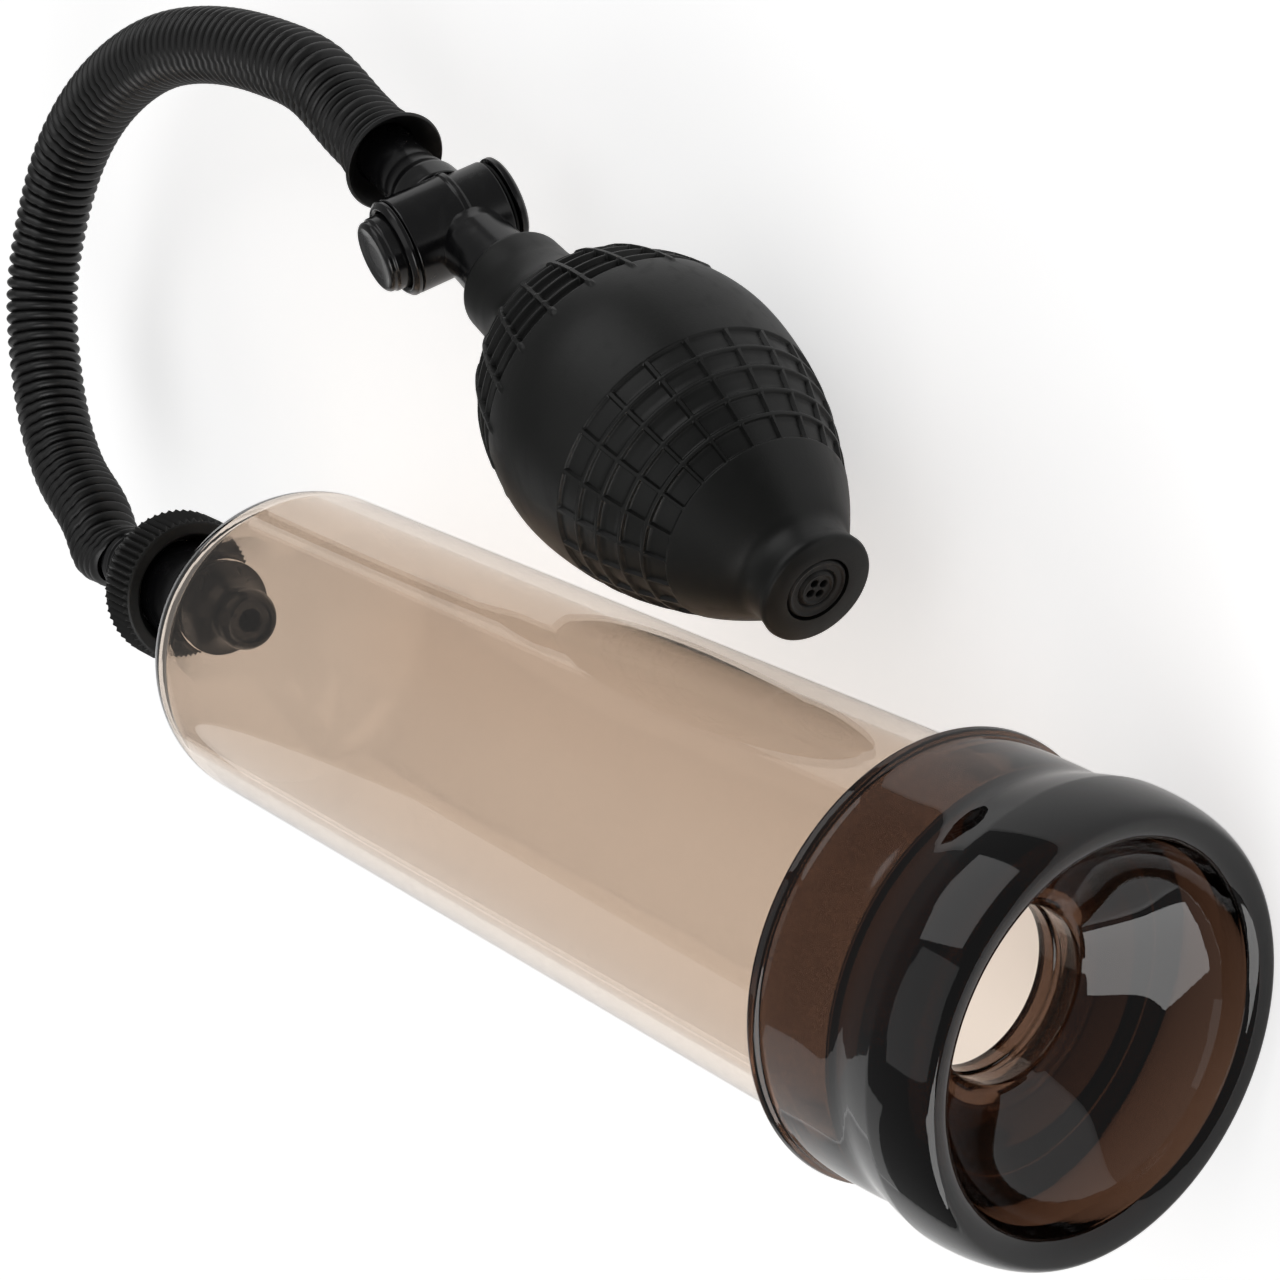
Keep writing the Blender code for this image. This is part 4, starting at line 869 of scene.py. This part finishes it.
button = [
    (button_top - 0.0005, 0.0),
    (button_top - 0.00045, 0.0024),
    (button_top - 0.0003, 0.0040),
    (button_top - 0.0001, 0.0049),
    (button_top, 0.0055),
    (button_top - 0.0002, 0.0059),
    (button_top - 0.0006, 0.0062),
    (button_top - 0.0013, 0.0062),
    (button_top - 0.0016, BUTTON_RADIUS),
    (button_flange, BUTTON_RADIUS),
    (button_flange, FLANGE_EDGE),
    (button_bottom, FLANGE_EDGE),
    (button_bottom, BUTTON_HOLLOW),
    (button_top - 0.0018, BUTTON_HOLLOW),
    (button_top - 0.0018, 0.0),
]
dress(turned("push_button", button, button_axis, 0.0002), "gloss_plastic", "release_button", "button")
GASKET, GASKET_RADIUS = 0.0005, 0.0071
gasket_station = -TAIL_LENGTH - CLEARANCE
cap_station = gasket_station - GASKET - CLEARANCE
gasket = pipe(gasket_station - GASKET, gasket_station, TAIL_BORE, GASKET_RADIUS)
dress(turned("gasket_ring", gasket, button_axis, 0.0001), "seal_rubber", "cap_gasket")
cap = [
    (cap_station - 0.0016, 0.0),
    (cap_station - 0.0016, 0.0052),
    (cap_station - 0.0013, 0.0056),
    (cap_station - 0.0016, 0.0060),
    (cap_station - 0.0016, 0.0070),
    (cap_station - 0.0010, TAIL_RADIUS),
    (cap_station, TAIL_RADIUS),
    (cap_station, TAIL_BORE - CLEARANCE),
    (cap_station + 0.0026, TAIL_BORE - CLEARANCE),
    (cap_station + 0.0026, 0.0),
]
dress(turned("barrel_cap", cap, button_axis, 0.0002), "gloss_plastic", "end_cap")

# %% [markdown]
# ## The squeeze bulb
# The bulb carries two moulded bands of sunken panels, twenty-one round and five along, with a smooth belt between
# them. The surface is the bulb's outline pushed in by a height function of two parameters: the place along the axis
# and the angle. The grid's rows and columns bunch up at the panels' edges, so that those edges stay crisp while the
# smooth parts need few faces.

# %% Bulb outline and grid lines
SPOUT_BORE = 0.0053
PANEL_COUNT = 21
RIB_START = math.radians(85.5)
PANEL_DEPTH = 0.0006
BAND_FRONT = np.array((0.0157, 0.0197, 0.0234, 0.0273, 0.0309, 0.0349))
BAND_BACK = np.array((0.0549, 0.0575, 0.0610, 0.0645, 0.0678, 0.0707))
BULB_BODY = [
    (0.0074, 0.0104),
    (0.0130, 0.0142),
    (0.0200, 0.0179),
    (0.0293, 0.0218),
    (0.0384, 0.0240),
    (0.0476, 0.0248),
    (0.0567, 0.0233),
    (0.0640, 0.0208),
    (0.0706, 0.0168),
    (0.0748, 0.0128),
    (0.0795, 0.0106),
    (0.0850, 0.0096),
]
RIB_SHARES = np.array((-0.1, -0.085, -0.06, -0.04, 0.04, 0.06, 0.085, 0.1))
BACK_PHASE = 0.35  # the back band's ribs stand this share of a period from the front band's
FLAT_SHARES = (-0.5, -0.4, -0.3, -0.2, 0.15, 0.2)
RIB_SPREAD = np.sort(np.concatenate([RIB_SHARES, RIB_SHARES + BACK_PHASE, FLAT_SHARES]))
RIDGE_SPREAD = np.array((-0.55, -0.42, -0.3, -0.18, 0.0, 0.18, 0.3, 0.42, 0.55)) * 1e-3
CLOSEST_ROWS = 4e-5
BULB_SPOUT = [
    (0.0, 0.0086),
    (0.0003, 0.0090),
    (0.0008, 0.00915),
    (0.0018, 0.0090),
    (0.0034, 0.0088),
    (0.0050, 0.0088),
    (0.0060, 0.0091),
    (0.0067, 0.0096),
]
BULB_INSIDE = [
    (BULB_LENGTH, NECK_BORE),
    (0.0712, NECK_BORE),
    (0.0690, 0.0148),
    (0.0640, 0.0180),
    (0.0476, 0.0222),
    (0.0293, 0.0192),
    (0.0130, 0.0116),
    (0.0088, SPOUT_BORE),
    (0.0, SPOUT_BORE),
]

body = smooth_curve(BULB_BODY, 400)
spout = np.array(BULB_SPOUT)
bead = ellipse((0.0894, 0.0066), 0.0021, 0.0029, 90, 0, 16)
bulb_line = np.vstack([spout, body, bead])
ridges = np.concatenate([BAND_FRONT, BAND_BACK])
stations = np.unique(
    np.concatenate(
        [
            spout[:, 0],
            np.linspace(0.0070, 0.0890, 80),
            (ridges[:, None] + RIDGE_SPREAD[None, :]).ravel(),
            np.array((0.0528, 0.0532, 0.0536, 0.0540)),
            bead[:, 0],
        ]
    )
)
stations = stations[np.concatenate([[True], np.diff(stations) > CLOSEST_ROWS])]
print("bulb rows:", len(stations))


# %% Bulb surface
def soft_step(value, low, high):
    """0 below low, 1 above high, and 3t^2 - 2t^3 between."""
    share = np.clip((value - low) / (high - low), 0, 1)
    return share * share * (3 - 2 * share)


def panel_height(station, turn):
    """Depth below the outline: panels sink between ridges and ribs, and the back band's ribs stand proud."""
    height = np.zeros(np.broadcast(station, turn).shape)
    for band, depth, phase in ((BAND_FRONT, PANEL_DEPTH, 0.0), (BAND_BACK, PANEL_DEPTH * 1.25, BACK_PHASE)):
        aside = np.abs(np.mod(turn - phase + 0.5, 1) - 0.5)
        rib = 1 - soft_step(aside, 0.035, 0.085)
        near = np.min(np.abs(station[..., None] - band), axis=-1)
        ridge = 1 - soft_step(near, 0.00022, 0.00052)
        within = (station > band[0]) & (station < band[-1])
        height -= depth * within * (1 - np.maximum(ridge, rib))
    tail = soft_step(station, 0.0530, 0.0540) * (1 - soft_step(station, 0.0700, 0.0712))
    return height + 0.00032 * rib * tail


def squeeze_bulb():
    """Outer rows: the outline moved along its normal by the panel height. Inner rows: the inside line, plain."""
    radius = np.interp(stations, bulb_line[:, 0], bulb_line[:, 1])
    incline = np.gradient(radius, stations)
    lean_out = np.column_stack([-incline, np.ones_like(incline)])
    lean_out /= np.linalg.norm(lean_out, axis=1)[:, None]
    period = np.arange(PANEL_COUNT)[:, None] + RIB_SPREAD[None, :]
    turn = np.broadcast_to(RIB_SPREAD, period.shape).ravel()
    angle = period.ravel() * 2 * np.pi / PANEL_COUNT + RIB_START
    push = panel_height(stations[:, None], turn[None, :])
    rows_s = stations[:, None] + lean_out[:, :1] * push
    rows_r = radius[:, None] + lean_out[:, 1:] * push
    inner = np.array(BULB_INSIDE)
    rows_s = np.vstack([rows_s, np.repeat(inner[:, :1], len(angle), 1)])
    rows_r = np.vstack([rows_r, np.repeat(inner[:, 1:], len(angle), 1)])
    return grid_piece("rubber_bulb", spun(rows_s, rows_r, angle), bulb_axis, 50)


dress(squeeze_bulb(), "bulb_rubber", "squeeze_bulb")

# %% [markdown]
# ## The outlet insert
# A small disc closes the bulb's free end. It has a raised rim, a groove, a raised ring round its middle and four
# drilled holes. The face is a set of rings of points whose depth is a sum of smooth steps.

# %% Outlet insert
INSERT_RADIUS = SPOUT_BORE - CLEARANCE
HOLE_CIRCLE, HOLE_RADIUS, HOLE_DEPTH = 0.0012, 0.0006, 0.0014
FACE_DEPTH = 0.0003  # below the bulb's end
# depth, radius and width of the ring, the groove and the rim
FACE_RINGS = ((-0.0002, 0.0025, 0.00022), (0.00035, 0.0031, 0.00018), (-0.00022, 0.0046, 0.0003))
INSERT_SIDE = [
    (0.00035, INSERT_RADIUS - 0.0001),
    (0.0006, INSERT_RADIUS),
    (0.0044, INSERT_RADIUS),
    (0.0044, 0.0037),
    (0.0020, 0.0037),
    (0.0020, 0.0),
]


def outlet_insert():
    """Face depth: a constant, plus depth exp(-((r - ring) / width)^2) for each ring, plus a well at each hole."""
    columns = 96
    angle = np.arange(columns) * 2 * np.pi / columns
    radius = np.concatenate([np.linspace(0, 0.0026, 40), np.linspace(0.0027, INSERT_RADIUS - 0.0003, 30)])[:, None]
    spot_x, spot_y = radius * np.cos(angle), radius * np.sin(angle)
    face = np.full(spot_x.shape, FACE_DEPTH)
    for depth, ring, width in FACE_RINGS:
        face += depth * np.exp(-(((radius - ring) / width) ** 2))
    for turn in (np.arange(4) + 0.5) * np.pi / 2:
        away = np.hypot(spot_x - HOLE_CIRCLE * np.cos(turn), spot_y - HOLE_CIRCLE * np.sin(turn))
        face += HOLE_DEPTH * (1 - soft_step(away, HOLE_RADIUS * 0.75, HOLE_RADIUS * 1.15))
    side = np.array(INSERT_SIDE)
    all_s = np.vstack([face, np.repeat(side[:, :1], columns, 1)])
    all_r = np.vstack([np.repeat(radius, columns, 1), np.repeat(side[:, 1:], columns, 1)])
    return grid_piece("drilled_insert", spun(all_s, all_r, angle), bulb_axis, 60, wrap_rows=False)


dress(outlet_insert(), "matt_plastic", "exhaust_insert")

# %% [markdown]
# ## Pieces kept from the CAD
# The valve discs, seats, seals, plunger and spring are inside, so their CAD shapes stay and only take a material.

# %% Materials for the inner CAD pieces
INNER = {
    "port_ring": "seal_rubber",
    "inlet_valve_cage": "gloss_plastic",
    "inlet_valve_disc": "seal_rubber",
    "exhaust_seat": "gloss_plastic",
    "exhaust_disc": "seal_rubber",
    "plunger_seal": "seal_rubber",
    "release_plunger": "gloss_plastic",
    "release_spring": "spring_steel",
}
for node, finish in INNER.items():
    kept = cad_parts[node]
    kept.data.materials.clear()
    kept.data.materials.append(FINISH[finish])
print("kept nodes:", len(INNER))

# %% [markdown]
# ## Floor and light
# The floor is a plain white sheet. Its material adds a little light of its own for the camera and for what is seen
# through the clear pieces, and half as much for reflections, so that it reads as white and still holds the pump's
# shadow. The sky behind it is white for the camera alone. For everything else it is the dim room round a soft-box
# table, which is what the black pieces mirror in the photograph.

# %% Floor
FLOOR_HALF = 1.6
FLOOR_TONE = 0.82
FLOOR_GLOW, REFLECTED_SHARE = 0.58, 0.5


def floor_material():
    """White diffuse plus an emission: full for camera and transmission rays, a share of it for glossy ones."""
    made = bpy.data.materials.new("white_sheet")
    made.use_nodes = True
    tree = made.node_tree
    tree.nodes.clear()
    ray = tree.nodes.new("ShaderNodeLightPath").outputs
    seen = add_node(tree, "Math", {0: ray["Is Camera Ray"], 1: ray["Is Transmission Ray"]}, operation="MAXIMUM")
    shares = {0: ray["Is Glossy Ray"], 1: REFLECTED_SHARE, 2: seen.outputs["Value"]}
    share = add_node(tree, "Math", shares, operation="MULTIPLY_ADD")
    level = add_node(tree, "Math", {0: share.outputs["Value"], 1: FLOOR_GLOW}, operation="MULTIPLY")
    glow = add_node(tree, "Emission", {"Color": (1, 1, 1, 1), "Strength": level.outputs["Value"]})
    matt = add_node(tree, "BsdfDiffuse", {"Color": (FLOOR_TONE, FLOOR_TONE, FLOOR_TONE, 1)})
    both = add_node(tree, "AddShader", {0: matt.outputs["BSDF"], 1: glow.outputs["Emission"]})
    add_node(tree, "OutputMaterial", {"Surface": both.outputs["Shader"]})
    return made


sheet = bpy.data.meshes.new("floor_sheet")
corners = np.array([(-1, -1, 0), (1, -1, 0), (1, 1, 0), (-1, 1, 0)], float) * FLOOR_HALF
sheet.from_pydata(corners.tolist(), [], [(0, 1, 2, 3)])
floor = bpy.data.objects.new("floor_sheet", sheet)
floor.location.z = -0.0001
bpy.context.collection.objects.link(floor)
sheet.materials.append(floor_material())

# %% Lights and world
def soft_box(name, spot, aim, width, height, power):
    """A rectangular lamp at a place, facing a point."""
    lamp = bpy.data.lights.new(name, "AREA")
    lamp.shape = "RECTANGLE"
    lamp.size, lamp.size_y = width, height
    lamp.energy = power
    holder = bpy.data.objects.new(name, lamp)
    bpy.context.collection.objects.link(holder)
    back = unit(np.array(spot) - np.array(aim))
    side = unit(np.cross((0, 1, 0.01), back))
    holder.matrix_world = Matrix(place_matrix(side, np.cross(back, side), back, spot).tolist())


soft_box("front_light", (-0.60, -0.66, 0.35), (0, 0, 0.03), 0.70, 0.66, 5.0)
soft_box("left_light", (-0.72, 0.72, 0.30), (0, 0, 0.03), 0.8, 0.5, 0.8)
soft_box("back_light", (0.80, 0.26, 0.66), (0, 0, 0), 0.8, 0.7, 2.2)
soft_box("over_light", (0.0, 0.1, 1.1), (0, 0, 0), 1.0, 1.0, 1.5)
ROOM_LIGHT = 0.22
world = bpy.data.worlds.new("studio")
bpy.context.scene.world = world
world.use_nodes = True
sky = world.node_tree
backdrop = sky.nodes["Background"]
backdrop.inputs["Color"].default_value = (1, 1, 1, 1)
seen_by_camera = sky.nodes.new("ShaderNodeLightPath").outputs["Is Camera Ray"]
level = add_node(sky, "MapRange", {"Value": seen_by_camera, "To Min": ROOM_LIGHT, "To Max": 1.0})
sky.links.new(level.outputs["Result"], backdrop.inputs["Strength"])
bpy.context.scene.view_settings.view_transform = "Standard"
